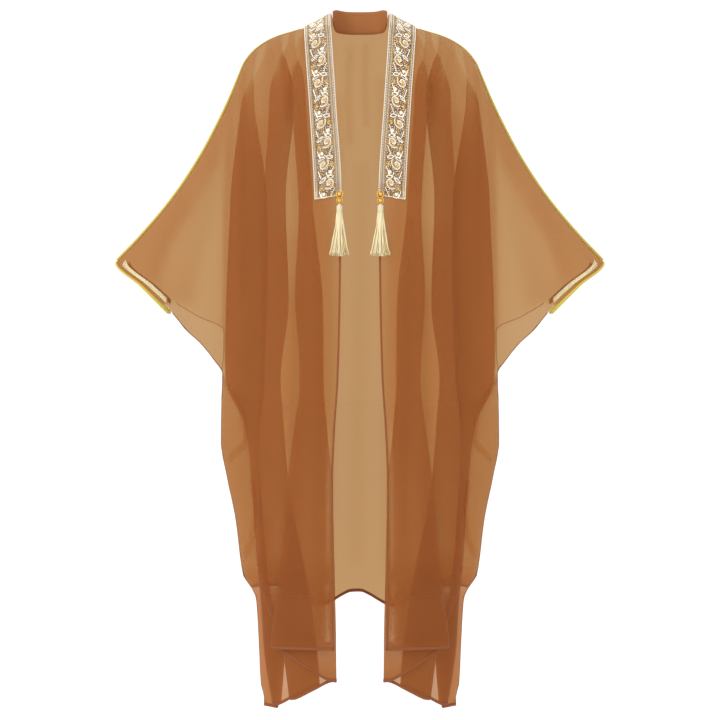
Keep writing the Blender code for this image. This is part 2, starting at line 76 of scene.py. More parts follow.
# Folds, seams and the ends of the trims
FOLD_RADIUS = 0.004
FLAT_STEP = 0.0036
FOLD_START = 0.130
LAYER_START = 0.050
SEAM_GAP = 0.0003
EDGE_STRIP = 0.0018
BRAID_FROM = 0.010
BRAID_TO = 0.021
BAND_END_Z = -0.376
BAND_END_SLANT = 0.008

# Walls, piping and hems. A hem is given by its width and half its wall
CLOTH_WALL = 0.0016
COLLAR_WALL = 0.0024
PIPING_FROM_X = 0.118
PIPING_TO_X = 0.480
PIPING_THIN = 0.0010
PIPING_THICK = 0.0030
CUFF_PIPING_THIN = 0.0020
CUFF_PIPING_THICK = 0.0042
FRONT_LOWER_HEM = (0.0055, 0.0005)
FRONT_EDGE_HEM = (0.0034, 0.0005)
FRONT_SIDE_HEM = (0.0036, 0.0006)
BACK_LOWER_HEM = (0.0060, 0.0005)
SEAM_RADIUS = 0.0005

SIDES = ((1, "left"), (-1, "right"))

SHOULDER_COLUMNS = ("x", "z")
SHOULDER_LINE = (
    (0.058, 0.000), (0.112, -0.028), (0.170, -0.047), (0.205, -0.068), (0.229, -0.096), (0.244, -0.132),
    (0.260, -0.172), (0.288, -0.232), (0.320, -0.292), (0.372, -0.372), (0.438, -0.452), (0.480, -0.496),
)

FOLD_COLUMNS = ("z", "edge", "band", "a", "a_lap", "b", "b_lap", "c", "c_lap")
FRONT_FOLDS = (
    (0.000, 0.058, 0.112, 0.126, 0.000, 0.152, 0.000, 0.196, 0.000),
    (-0.080, 0.054, 0.106, 0.122, 0.010, 0.151, 0.022, 0.199, 0.008),
    (-0.190, 0.047, 0.098, 0.118, 0.027, 0.152, 0.049, 0.221, 0.026),
    (-0.380, 0.036, 0.087, 0.105, 0.027, 0.165, 0.041, 0.218, 0.073),
    (-0.580, 0.038, 0.082, 0.098, 0.053, 0.163, 0.049, 0.222, 0.081),
    (-0.730, 0.042, 0.080, 0.093, 0.046, 0.172, 0.035, 0.226, 0.078),
    (-0.820, 0.048, 0.082, 0.095, 0.062, 0.172, 0.048, 0.211, 0.032),
    (-0.920, 0.052, 0.085, 0.097, 0.085, 0.170, 0.060, 0.205, 0.018),
    (-1.140, 0.051, 0.095, 0.104, 0.112, 0.146, 0.094, 0.188, 0.020),
    (-1.250, 0.050, 0.100, 0.110, 0.128, 0.118, 0.069, 0.170, 0.042),
    (-1.370, 0.046, 0.100, 0.107, 0.126, 0.105, 0.060, 0.164, 0.018),
)

SIDE_COLUMNS = ("z", "seam")
SIDE_LINE = (
    (0.000, 0.480), (-0.496, 0.480), (-0.545, 0.427), (-0.597, 0.374), (-0.634, 0.344), (-0.660, 0.316),
    (-0.692, 0.291), (-0.718, 0.274), (-0.771, 0.276), (-0.851, 0.277), (-0.931, 0.264), (-1.010, 0.248),
    (-1.092, 0.238), (-1.120, 0.233), (-1.148, 0.216), (-1.162, 0.208), (-1.252, 0.202), (-1.332, 0.198),
    (-1.370, 0.190),
)

HEM_COLUMNS = ("edge", "band", "a_out", "a_in", "b_out", "b_in", "c_out", "c_in", "seam")
FRONT_HEM = (-1.250, -1.250, -1.252, -1.313, -1.352, -1.325, -1.371, -1.366, -1.378)
SLEEVE_SHARES = (0.16, 0.33, 0.50, 0.66, 0.80)
BACK_SHARES = (0.12, 0.24, 0.36, 0.48, 0.60, 0.72, 0.83)
BACK_WAVES = 5.0
BACK_WAVE_DEPTH = 0.011

# Fineness of the shells
UPPER_ROWS = 104
LOWER_ROWS = 18
ACROSS = 4
# The column of the front whose heights pick the rows of its density table
MIDDLE_COLUMN = 12
BAND_COLUMNS = 3 * ACROSS
FIT_DROP = 0.060

# Cloth: how much of it covers what lies behind, and the tint of the light that it lets through
FRONT_COVER = 0.36
FRONT_TINT = (0.995, 0.930, 0.820)
FRONT_COLOUR = (0.378, 0.124, 0.032)
# Colour of the front by its density: stretched thin, as it hangs, and lone but doubled or gathered
MOST_DENSITY = 6.0
COLOUR_BY_DENSITY = ((0.60, (0.500, 0.320, 0.150)), (1.15, FRONT_COLOUR), (5.00, (0.385, 0.118, 0.020)))
BACK_COVER = 0.40
BACK_TINT = (0.650, 0.390, 0.178)
BACK_COLOUR = (0.250, 0.120, 0.046)

# Density of the front by height: its columns are named places across the cloth, given by DENSITY_AT
DENSITY_COLUMNS = ("z", "edge", "band", "a", "ab", "b", "bc", "c", "side")
DENSITY_AT = (0.8, 2.2, 8.0, 12.0, 16.0, 20.0, 24.0, 29.0)
FRONT_DENSITY = (
    (0.00, 1.10, 1.60, 1.30, 1.10, 1.15, 1.10, 1.15, 1.00),
    (-0.10, 1.00, 1.60, 1.25, 1.15, 1.15, 1.10, 1.15, 1.00),
    (-0.18, 0.95, 1.75, 1.30, 1.15, 1.35, 1.20, 1.20, 1.00),
    (-0.28, 0.95, 2.10, 1.30, 1.02, 1.50, 1.60, 1.50, 1.00),
    (-0.40, 0.95, 2.10, 1.25, 1.00, 1.50, 1.75, 1.48, 1.05),
    (-0.51, 1.00, 2.00, 1.25, 1.32, 1.38, 1.65, 1.38, 1.25),
    (-0.58, 1.05, 1.90, 1.15, 1.72, 1.30, 1.55, 1.35, 1.45),
    (-0.80, 1.15, 1.80, 1.12, 1.80, 1.25, 1.40, 1.30, 1.60),
    (-0.95, 1.05, 1.65, 1.05, 1.20, 1.10, 1.30, 1.45, 1.50),
    (-1.06, 1.20, 1.60, 1.05, 1.10, 1.05, 1.30, 1.45, 1.70),
    (-1.13, 1.70, 1.90, 1.60, 1.60, 1.60, 2.20, 2.30, 3.40),
    (-1.18, 2.80, 2.80, 2.40, 2.40, 2.40, 3.20, 3.20, 5.50),
    (-1.25, 2.80, 2.80, 2.40, 2.40, 2.40, 3.20, 3.20, 5.50),
    (-1.30, 2.00, 2.40, 2.60, 2.60, 2.60, 3.00, 3.60, 5.50),
    (-1.37, 3.40, 5.00, 5.00, 4.20, 3.60, 3.60, 4.60, 6.00),
)
SLEEVE_FROM_X = 0.250
SLEEVE_TO_X = 0.286
SLEEVE_DENSITY = 0.72
SLEEVE_END_DENSITY = 1.24
SLEEVE_TOP_DENSITY = 0.68
CUFF_DENSITY = 1.90
SEAM_DENSITY = 1.20
LAP_PLACES = (7.2, 15.2, 23.2)
LAP_TOP_DENSITY = 0.60
LAP_FULL_DROP = 0.24
UNDERARM_DENSITY = 0.10
BACK_SLEEVE_THINNER = 0.10

# Soft creases, uneven: points down the crease in the front view, half width, rise, added density
FRONT_CREASES = (
    (((0.176, -0.085), (0.174, -0.152), (0.182, -0.206), (0.188, -0.312)), 0.007, 0.0035, 0.30),
    (((0.158, -0.060), (0.150, -0.120), (0.147, -0.180)), 0.006, 0.0030, 0.30),
    (((0.114, -0.070), (0.138, -0.152), (0.144, -0.220)), 0.006, 0.0030, 0.35),
    (((0.234, -0.130), (0.233, -0.300), (0.232, -0.560)), 0.006, 0.0035, 0.45),
    (((0.258, -0.180), (0.262, -0.420), (0.266, -0.640), (0.270, -0.716)), 0.007, 0.0030, 0.40),
    (((0.300, -0.262), (0.330, -0.410), (0.352, -0.560)), 0.020, 0.0040, 0.12),
    (((0.340, -0.330), (0.390, -0.450), (0.412, -0.520)), 0.016, 0.0030, 0.10),
    (((0.276, -0.728), (0.234, -0.792), (0.226, -0.846), (0.256, -0.886)), 0.0045, 0.0035, 1.30),
    (((0.214, -0.932), (0.208, -0.988), (0.214, -1.044), (0.230, -1.080)), 0.0045, 0.0030, 1.10),
    (((0.070, -0.420), (0.064, -0.640), (0.066, -0.900)), 0.010, 0.0030, 0.15),
    (((0.061, -0.820), (0.062, -0.960), (0.062, -1.090)), 0.0030, 0.0010, -0.38),
    (((0.062, -1.120), (0.062, -1.180), (0.061, -1.232)), 0.0030, 0.0010, -1.50),
    (((0.092, -0.420), (0.082, -0.700), (0.080, -1.000), (0.078, -1.220)), 0.009, 0.0035, 0.25),
    (((0.130, -0.560), (0.126, -0.760), (0.124, -1.060)), 0.008, 0.0030, 0.25),
    (((0.196, -0.760), (0.190, -0.960), (0.178, -1.120)), 0.009, 0.0030, 0.20),
    (((0.240, -0.900), (0.232, -1.020), (0.220, -1.120)), 0.008, 0.0030, 0.15),
)
BACK_CREASES = (
    (((0.012, -0.050), (0.010, -0.120), (0.014, -0.200)), 0.008, 0.0022, 0.10),
    (((-0.020, -0.055), (-0.024, -0.140), (-0.020, -0.240)), 0.009, 0.0025, 0.10),
    (((0.046, -0.120), (0.052, -0.400), (0.058, -0.800), (0.060, -1.120)), 0.014, 0.0035, 0.08),
    (((-0.044, -0.160), (-0.050, -0.460), (-0.062, -0.860), (-0.070, -1.130)), 0.013, 0.0035, 0.08),
    (((0.004, -0.300), (0.000, -0.640), (-0.008, -1.100)), 0.016, 0.0030, 0.05),
    (((0.120, -0.120), (0.124, -0.380), (0.136, -0.760), (0.150, -1.120)), 0.015, 0.0050, 0.12),
    (((-0.116, -0.110), (-0.122, -0.420), (-0.140, -0.800), (-0.146, -1.130)), 0.015, 0.0050, 0.12),
    (((0.200, -0.200), (0.214, -0.480), (0.222, -0.760), (0.216, -1.060)), 0.014, 0.0045, 0.12),
    (((-0.204, -0.210), (-0.216, -0.500), (-0.226, -0.780), (-0.212, -1.080)), 0.014, 0.0045, 0.12),
    (((0.290, -0.290), (0.320, -0.420), (0.342, -0.560)), 0.018, 0.0040, 0.10),
    (((-0.286, -0.290), (-0.318, -0.430), (-0.344, -0.560)), 0.018, 0.0040, 0.10),
    (((0.352, -0.380), (0.392, -0.460), (0.412, -0.520)), 0.015, 0.0030, 0.08),
    (((-0.350, -0.380), (-0.394, -0.460), (-0.412, -0.520)), 0.015, 0.0030, 0.08),
)

# Where the front's lower edge of the sleeve is sewn to the under side, which lies lighter below it
UNDERARM_LINE = ((0.362, -0.580), (0.318, -0.606), (0.268, -0.634), (0.269, -0.680), (0.275, -0.716))

# Beads by their half length, half width and half height
BUGLE = (0.00215, 0.00105, 0.00100)
SMALL_BEAD = (0.00120, 0.00120, 0.00100)
ROPE_BEAD = (0.00150, 0.00095, 0.00090)
DOT_BEAD = (0.00110, 0.00100, 0.00090)
BIG_BEAD = (0.00240, 0.00240, 0.00150)
BRAID_STITCH = (0.0022, 0.0008, 0.0007)
BRAID_EDGE_STITCH = (0.0014, 0.0006, 0.0006)

# Embroidered bands
BAND_LIFT = 0.0022
BAND_HALF_WALL = 0.0008
BEAD_LIFT = 0.0026
BAND_FIELD = (0.0125, 0.0460)
MOTIF_LENGTH = 0.0410
ROSETTE_BEADS = 7
ROSETTE_RADIUS = 0.0034
FILL_GAP = 0.00230
FILL_TRIES = 6000
SEWN_CORD_TWIST = 1100.0
SEWN_CORD_DEPTH = 0.16

# Columns of beads beside the field: metal, distance from the band's edge at the front opening, or back
# from its other edge where it is negative, distance between beads, turn of each bead, and bead
BORDER_COLUMNS = (
    ("silver", 0.0014, 0.00300, 0.0, DOT_BEAD),
    ("silver", 0.0038, 0.00310, 0.75, ROPE_BEAD),
    ("gold", 0.0062, 0.00290, 0.0, DOT_BEAD),
    ("silver", 0.0086, 0.00310, -0.75, ROPE_BEAD),
    ("gold", 0.0110, 0.00290, 0.0, DOT_BEAD),
    ("silver", -0.0014, 0.00300, 0.0, DOT_BEAD),
    ("silver", -0.0040, 0.00310, -0.75, ROPE_BEAD),
    ("gold", -0.0064, 0.00290, 0.0, DOT_BEAD),
)

# Cuff braids and tassels
BRAID_PITCH = 0.0030
BRAID_LEAN = 0.9
WRAP_TURNS = 12
TASSEL_HEAD = 0.0160
STRANDS = 230
STRAND_LENGTH = 0.0895
STRAND_RADIUS = 0.00052
GOLDEN_ANGLE = 2.39996

# Light, camera and floor
LIGHT_PLACE = (-2.4, -3.0, 1.4)
LIGHT_AIM = (0.0, 0.0, -0.6)
LIGHT_SIZE = 2.2
LIGHT_POWER = 60.0
WORLD_STRENGTH = 1.12
CAMERA_PLACE = (0.0, -3.2, -0.692)
CAMERA_LENS = 80.0
FLOOR_Z = -1.50


def smooth_table(rows, column, at):
    """Reads one column of a table between its rows, by the first column, with no overshoot."""
    ordered = sorted(rows)
    heights = np.array([row[0] for row in ordered])
    values = np.array([row[column] for row in ordered])
    return smooth_values(heights, values, at)


def smooth_values(heights, values, at):
    gaps = np.diff(heights)
    slopes = np.diff(values) / gaps
    tangents = np.zeros_like(values)
    same_way = slopes[:-1] * slopes[1:] > 0
    pair = slopes[:-1] + slopes[1:]
    tangents[1:-1] = np.where(same_way, 2 * slopes[:-1] * slopes[1:] / np.where(same_way, pair, 1), 0)
    tangents[[0, -1]] = slopes[[0, -1]]
    at = np.clip(at, heights[0], heights[-1])
    cell = np.clip(np.searchsorted(heights, at) - 1, 0, len(gaps) - 1)
    share = (at - heights[cell]) / gaps[cell]
    start = (1 + 2 * share) * (1 - share) ** 2 * values[cell]
    end = share ** 2 * (3 - 2 * share) * values[cell + 1]
    lead = share * (1 - share) ** 2 * gaps[cell] * tangents[cell]
    trail = share ** 2 * (share - 1) * gaps[cell] * tangents[cell + 1]
    return start + end + lead + trail


def fold_value(name, z):
    return smooth_table(FRONT_FOLDS, FOLD_COLUMNS.index(name), z)


def side_value(name, z):
    return smooth_table(SIDE_LINE, SIDE_COLUMNS.index(name), z)


def inside_seam(z, inset):
    return side_value("seam", z) - inset * float(1 - 0.65 * ease(0.60, 0.74, -z))


def hem_value(name):
    return FRONT_HEM[HEM_COLUMNS.index(name)]


def shoulder_heights(x):
    return smooth_table(SHOULDER_LINE, SHOULDER_COLUMNS.index("z"), x)


def shoulder_height(x):
    return float(shoulder_heights(x))


def ease(low, high, value):
    share = np.clip((value - low) / (high - low), 0, 1)
    return share * share * (3 - 2 * share)


def quarter_round(share):
    share = np.clip(share, 0, 1)
    return np.sqrt(1 - (1 - share) ** 2)


def slow_round(share):
    return np.sin(np.pi / 2 * np.clip(share, 0, 1))


def neck_height(x):
    share = min(abs(x) / NECK_HALF_WIDTH, 1.0)
    return -NECK_DROP * (1 - share ** 5)


def neck_back(x):
    share = min(abs(x) / NECK_HALF_WIDTH, 1.0)
    return NECK_DEPTH * (1 - share ** 3.2) ** (1 / 2.6)


def closed_edge(with_neck):
    """The line where front and back are joined, as pairs of ends in the front view."""
    top = [(x, shoulder_height(x)) for x in np.linspace(NECK_HALF_WIDTH, CUFF_TOP_X, SHOULDER_STEPS)]
    if with_neck:
        steps = np.linspace(0, 1, 9)[:-1] * NECK_HALF_WIDTH
        top = [(x, neck_height(x)) for x in steps] + top
    side = [(float(side_value("seam", z)), z) for z in np.linspace(CUFF_LOW_Z, LOWEST_Z, 40)]
    return [(line[i], line[i + 1]) for line in (top, side) for i in range(len(line) - 1)]


FRONT_EDGE_LINES = closed_edge(False)
SHOULDER_EDGES = FRONT_EDGE_LINES[:SHOULDER_STEPS - 1]
BACK_EDGE_LINES = closed_edge(True)


def edge_distance(lines, x, z):
    starts = np.array([line[0] for line in lines])
    runs = np.array([line[1] for line in lines]) - starts
    reach = np.array((x, z)) - starts
    share = np.clip((reach * runs).sum(1) / (runs * runs).sum(1), 0, 1)
    return float(np.hypot(*(reach - runs * share[:, None]).T).min())


def line_depth(x):
    return -ARM_FORWARD * ease(0.20, 0.48, x)


def body_share(x):
    return float(1 - ease(0.10, 0.28, x))


def front_depth(x, z):
    away = edge_distance(FRONT_EDGE_LINES, x, z)
    arm = ARM_FRONT * quarter_round(away / ARM_ROUND)
    chest = CHEST_FRONT * body_share(x) * slow_round(away / BODY_ROUND)
    return line_depth(x) - SEAM_GAP - float(arm + chest)


def back_depth(x, z):
    away = edge_distance(BACK_EDGE_LINES, x, z)
    start = neck_back(x)
    room = 1 - start / (ARM_BACK + BLADE_BACK)
    arm = ARM_BACK * quarter_round(away / ARM_ROUND)
    blade = BLADE_BACK * body_share(x) * slow_round(away / BODY_ROUND)
    return line_depth(x) + SEAM_GAP + start + room * float(arm + blade)


def column_start(place):
    z = -0.1
    for _ in range(40):
        z = 0.5 * z + 0.5 * shoulder_height(place(z)[0])
    return z


def fold_columns(letter, radius_from, hems):
    out_hem, in_hem = hems
    fold_top = shoulder_height(fold_value(letter, 0.0))
    along = (1, 1, 1, 0, -1, -1, -1)
    bends = (-1, 0, -1, 0, 1, 0, 1)
    depths = (-2, -1.1, -0.35, 0, 0.35, 1.1, 2)
    hem_shares = (0, 0, 0, 0.5, 1, 1, 1)
    columns = []
    for index in range(7):
        def place(z, index=index):
            half = fold_value(letter + "_lap", z) / 2 * float(ease(0.0, FOLD_START, fold_top - z))
            lapped = min(half / (2 * FOLD_RADIUS), 1.0)
            flat = (index - 3) * FLAT_STEP
            folded = along[index] * half + bends[index] * min(FOLD_RADIUS, half / 2)
            x = fold_value(letter, z) + (1 - lapped) * flat + lapped * folded
            return float(x), radius_from + depths[index] * FOLD_RADIUS
        columns.append((out_hem + (in_hem - out_hem) * hem_shares[index], place))
    return columns


def plain_column(name, offset, hem):
    return (hem, lambda z: (float(fold_value(name, z)), offset))


def between(left, right, share):
    def place(z):
        x0, d0 = left[1](z)
        x1, d1 = right[1](z)
        return x0 + (x1 - x0) * share, d0 + (d1 - d0) * share
    return (left[0] + (right[0] - left[0]) * share, place)


def front_columns():
    layer = 2 * FOLD_RADIUS
    edge = plain_column("edge", -6 * layer, hem_value("edge"))
    band = plain_column("band", -6 * layer, hem_value("band"))
    folds = [
        fold_columns("a", -5 * layer, (hem_value("a_out"), hem_value("a_in"))),
        fold_columns("b", -3 * layer, (hem_value("b_out"), hem_value("b_in"))),
        fold_columns("c", -1 * layer, (hem_value("c_out"), hem_value("c_in"))),
    ]
    columns = [edge, between(edge, band, 0.36), between(edge, band, 0.70), band]
    for fold in folds:
        columns.append(between(columns[-1], fold[0], 0.5))
        columns += fold
    inner = columns[-1]
    for share in SLEEVE_SHARES:
        def place(z, share=share):
            x, offset = inner[1](z)
            return x + (inside_seam(z, BRAID_TO) - x) * share, offset * (1 - share)
        columns.append((hem_value("seam"), place))
    for inset in (BRAID_TO, BRAID_FROM):
        columns.append((hem_value("seam"), lambda z, inset=inset: (inside_seam(z, inset), 0.0)))
    for inset in (EDGE_STRIP, 0.0):
        columns.append((hem_value("seam"), lambda z, inset=inset: (side_value("seam", z) - inset, 0.0)))
    return columns


def upper_steps():
    """Shares of the way down to the back hem, closer together near the shoulder."""
    even = np.linspace(0, 1, UPPER_ROWS)
    return 0.35 * even ** 2.2 + 0.65 * even


def front_grid():
    """Points of the left front with its half of the sleeve, row by row."""
    rows = []
    columns = [(column_start(place), hem, place) for hem, place in front_columns()]
    levels = [(0, step) for step in upper_steps()]
    levels += [(1, step) for step in np.linspace(0, 1, LOWER_ROWS + 1)[1:]]
    for stage, step in levels:
        row = []
        for start, hem, place in columns:
            begin = start if stage == 0 else BACK_HEM_SIDE_Z
            end = BACK_HEM_SIDE_Z if stage == 0 else hem
            z = begin + (end - begin) * step
            x, offset = place(z)
            drop = edge_distance(SHOULDER_EDGES, x, z)
            if z > start - 1e-6:
                z = shoulder_height(x)
                drop = 0.0
            y = front_depth(x, z) + offset * float(ease(0.0, LAYER_START, drop))
            row.append((x, y, z))
        rows.append(row)
    return np.array(rows)


def neck_side(z):
    return float(NECK_HALF_WIDTH * (1 + 0.25 * ease(0.1, 0.9, -z)))


def back_half():
    """Start height and place of each column from the middle of the back to its left edge."""
    columns = []
    for share in (0.0, 0.25, 0.5, 0.75, 0.93):
        x = share * NECK_HALF_WIDTH
        columns.append((neck_height(x), lambda z, x=x: (float(x * (1 + 0.25 * ease(0.1, 0.9, -z))), None)))
    places = [lambda z: (neck_side(z), None)]
    for share in BACK_SHARES:
        def place(z, share=share):
            return neck_side(z) + share * (inside_seam(z, BRAID_TO) - neck_side(z)), None
        places.append(place)
    for away in (BRAID_TO, BRAID_FROM):
        places.append(lambda z, away=away: (inside_seam(z, away), None))
    columns += [(column_start(place), place) for place in places]
    for turn in (50.0, 22.0, 6.0, 0.0):
        start = shoulder_height(CUFF_TOP_X - BRAID_FROM * (1 - math.cos(math.radians(turn))))
        columns.append((start, lambda z, turn=turn: (inside_seam(z, BRAID_FROM), math.radians(turn))))
    return columns


def back_hem_height(x):
    wave = BACK_HEM_Z + BACK_HEM_WAVE * math.cos(2 * math.pi * (x + 0.010) / BACK_HEM_WAVE_LENGTH)
    lift = float(ease(0.08, 0.21, abs(x)))
    return wave + (BACK_HEM_SIDE_Z - wave) * lift


def cuff_bulge(z):
    share = np.clip((CUFF_TOP_Z - z) / (CUFF_TOP_Z - CUFF_LOW_Z), 0, 1)
    return CUFF_BULGE * math.sin(math.pi * float(share)) ** 0.7


def back_point(side, start, place, step):
    hem = back_hem_height(side * place(BACK_HEM_SIDE_Z)[0])
    z = start + (hem - start) * step
    x, turn = place(z)
    if turn is not None:
        seam = float(side_value("seam", z))
        outer_y = back_depth(x, z)
        seam_y = line_depth(seam) + SEAM_GAP + cuff_bulge(z)
        x = seam - (seam - x) * (1 - math.cos(turn))
        y = seam_y + (outer_y - seam_y) * math.sin(turn)
        if step == 0.0:
            z = shoulder_height(x)
            y = line_depth(x) + SEAM_GAP
        return (side * x, y, z)
    if step == 0.0 and x > NECK_HALF_WIDTH - 1e-6:
        z = shoulder_height(x)
    y = back_depth(x, z)
    ripple = math.sin(2 * math.pi * BACK_WAVES * (side * x + 0.03) + 1.1 * math.sin(9 * side * x))
    y += BACK_WAVE_DEPTH * ripple * float(ease(0.15, 0.95, -z)) * body_share(x * 0.9)
    return (side * x, y, z)


def back_grid():
    half = back_half()
    rows = []
    for step in upper_steps():
        right = [back_point(-1, start, place, step) for start, place in half[:0:-1]]
        left = [back_point(1, start, place, step) for start, place in half]
        rows.append(right + left)
    return np.array(rows)


def lengths_along(points, least=0.0):
    """Distance along a line at each of its points, with a least step between them."""
    steps = np.linalg.norm(np.diff(points, axis=0), axis=1) + least
    return np.concatenate([[0.0], np.cumsum(steps)])


def flat_lengths(points):
    """The same for a line in the front view or on the flat cloth."""
    return np.concatenate([[0.0], np.cumsum(np.hypot(*np.diff(points, axis=0).T))])


def finer_across(grid, factor):
    """More columns between a grid's own, on smooth curves through each row's points."""
    rows = []
    for row in grid:
        lengths = lengths_along(row, 1e-7)
        places = np.arange((len(row) - 1) * factor + 1) / factor
        at = np.interp(places, np.arange(len(row)), lengths)
        rows.append(np.stack([smooth_values(lengths, row[:, axis], at) for axis in range(3)], axis=1))
    return np.array(rows)


def outward(grid, away):
    """Unit normals of a grid of points, each the mean of the cells round it."""
    across = grid[1:, 1:] + grid[:-1, 1:] - grid[1:, :-1] - grid[:-1, :-1]
    down = grid[1:, 1:] + grid[1:, :-1] - grid[:-1, 1:] - grid[:-1, :-1]
    cells = np.cross(across, down)
    cells /= np.linalg.norm(cells, axis=2, keepdims=True) + 1e-12
    around = np.pad(cells, ((1, 1), (1, 1), (0, 0)), mode="edge")
    normals = around[1:, 1:] + around[:-1, 1:] + around[1:, :-1] + around[:-1, :-1]
    normals /= np.linalg.norm(normals, axis=2, keepdims=True) + 1e-12
    facing = (normals * np.array(away)).sum(axis=2)
    return normals * (1 if facing.mean() > 0 else -1)


def line_distance(points, line):
    """Distance in the front view from many points to a line of a few points."""
    nearest = np.full(points.shape[:-1], 9.0)
    flat = points[..., [0, 2]]
    for start, end in zip(line, line[1:]):
        start = np.array(start)
        run = np.array(end) - start
        share = np.clip(((flat - start) * run).sum(-1) / (run * run).sum(), 0, 1)
        gap = flat - start - share[..., None] * run
        nearest = np.minimum(nearest, np.hypot(gap[..., 0], gap[..., 1]))
    return nearest


def round_line(points, steps=24):
    """A smooth line in the front view through a few points."""
    points = np.array(points)
    lengths = flat_lengths(points)
    at = np.linspace(0, lengths[-1], steps)
    return np.stack([smooth_values(lengths, points[:, axis], at) for axis in range(2)], axis=1)


def crease(grid, creases, forward):
    """Raises soft ridges along the creases and gives the cloth's added density."""
    density = np.zeros(grid.shape[:2])
    lift = np.zeros(grid.shape[:2])
    for points, half_width, rise, thick in creases:
        away = line_distance(grid, round_line(points))
        bump = np.exp(-(away / half_width) ** 2)
        lift += rise * bump
        density += thick * bump
    raised = grid.copy()
    raised[..., 1] += forward * lift
    return raised, density


def plain_material(name, colour, roughness, metallic=0.0, sheen=0.0, alpha=1.0):
    material = bpy.data.materials.new(name)
    material.use_nodes = True
    material.diffuse_color = (*colour, 1.0)
    inputs = material.node_tree.nodes["Principled BSDF"].inputs
    inputs["Base Color"].default_value = (*colour, 1.0)
    inputs["Roughness"].default_value = roughness
    inputs["Metallic"].default_value = metallic
    inputs["Sheen Weight"].default_value = sheen
    inputs["Alpha"].default_value = alpha
    return material


def sheer_material(name, colour, cover, tint, glow, by_density=()):
    """Fine cloth: part covers, part lets tinted light through, more of both where it is dense."""
    material = plain_material(name, colour, 0.65, sheen=0.15)
    nodes = material.node_tree.nodes
    links = material.node_tree.links
    shader = nodes["Principled BSDF"]
    shader.inputs["Specular IOR Level"].default_value = 0.25
    shader.inputs["Sheen Roughness"].default_value = 0.4

    def add(kind, inputs, output=0, operation=None):
        """A new node's output. Each input is another node's output or a value of its own."""
        node = nodes.new("ShaderNode" + kind)
        if operation:
            node.operation = operation
        for socket, value in inputs.items():
            if isinstance(value, bpy.types.NodeSocket):
                links.new(value, node.inputs[socket])
            else:
                node.inputs[socket].default_value = value
        return node.outputs[output]

    density = add("Attribute", {}, "Fac")
    density.node.attribute_name = "cloth_density"
    through = add("BsdfTranslucent", {"Color": (*colour, 1.0)})
    if by_density:
        share = add("Math", {0: density, 1: MOST_DENSITY}, operation="DIVIDE")
        shade = add("ValToRGB", {"Fac": share})
        stops = shade.node.color_ramp.elements
        while len(stops) < len(by_density):
            stops.new(1.0)
        for stop, (level, tone) in zip(stops, by_density):
            stop.position = level / MOST_DENSITY
            stop.color = (*tone, 1.0)
        links.new(shade, shader.inputs["Base Color"])
        links.new(shade, through.node.inputs["Color"])
    body = add("MixShader", {"Fac": glow, 1: shader.outputs["BSDF"], 2: through})
    bare = add("Math", {0: 1 - cover, 1: density}, operation="POWER")
    covers = add("Math", {0: 1.0, 1: bare}, operation="SUBTRACT")
    tinted = add("Gamma", {"Color": (*tint, 1.0), "Gamma": density})
    clear = add("BsdfTransparent", {"Color": tinted})
    mixed = add("MixShader", {"Fac": covers, 1: clear, 2: body})
    links.new(mixed, nodes["Material Output"].inputs["Surface"])
    return material


def new_object(name, data):
    item = bpy.data.objects.new(name, data)
    bpy.context.scene.collection.objects.link(item)
    return item


def add_piece(name, shape, material, nodes=(), density=None):
    """A piece from its points and faces, which rides on the body and may stand for some nodes."""
    points, faces = shape
    mesh = bpy.data.meshes.new(name)
    mesh.from_pydata([tuple(map(float, point)) for point in points], [], faces)
    mesh.shade_smooth()
    if density is not None:
        layer = mesh.attributes.new("cloth_density", "FLOAT", "POINT")
        layer.data.foreach_set("value", np.asarray(density, dtype=np.float32).ravel())
    mesh.materials.append(material)
    piece = new_object(name, mesh)
    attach(piece, "root")
    if nodes:
        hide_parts(*nodes)
    return piece


def grid_faces(rows, columns, closed=False):
    faces = []
    last = columns if closed else columns - 1
    for row in range(rows - 1):
        for column in range(last):
            after = (column + 1) % columns
            low = row * columns
            faces.append((low + column, low + after, low + columns + after, low + columns + column))
    return faces


def open_sheet(grid):
    return grid.reshape(-1, 3), grid_faces(*grid.shape[:2])


def tube(points, radii, sides, twist=0.0, depth=0.0):
    """Points and faces of a round cord. A twist gives it the two strands of a plied cord."""
    points = np.array(points, dtype=float)
    runs = np.gradient(points, axis=0)
    runs /= np.linalg.norm(runs, axis=1, keepdims=True) + 1e-12
    normal = np.cross(runs[0], (0.0, 1.0, 0.0))
    if np.linalg.norm(normal) < 1e-6:
        normal = np.cross(runs[0], (1.0, 0.0, 0.0))
    rings = []
    turns = np.linspace(0, 2 * math.pi, sides, endpoint=False)
    cosines = np.cos(turns)[:, None]
    sines = np.sin(turns)[:, None]
    for point, run, radius, length in zip(points, runs, radii, lengths_along(points)):
        normal = normal - run * np.dot(normal, run)
        normal /= np.linalg.norm(normal) + 1e-12
        reach = radius * (1 + depth * np.cos(2 * turns - twist * length))
        rings.append(point + reach[:, None] * (cosines * normal + sines * np.cross(run, normal)))
    faces = grid_faces(len(points), sides, closed=True)
    faces.append(tuple(range(sides))[::-1])
    faces.append(tuple((len(points) - 1) * sides + index for index in range(sides)))
    return np.array(rings).reshape(-1, 3), faces


def join(shapes):
    """Several pairs of points and faces as one."""
    points = []
    faces = []
    start = 0
    for more, sides in shapes:
        points.append(np.asarray(more))
        faces += [tuple(index + start for index in face) for face in sides]
        start += len(more)
    return np.concatenate(points), faces


def finer_line(points, spacing):
    """Points at even distances on a smooth line through the given ones, and their shares of its length."""
    points = np.array(points, dtype=float)
    lengths = lengths_along(points, 1e-9)
    at = np.linspace(0, lengths[-1], max(int(lengths[-1] / spacing) + 1, 2))
    finer = np.stack([smooth_values(lengths, points[:, axis], at) for axis in range(3)], axis=1)
    return finer, at / lengths[-1]


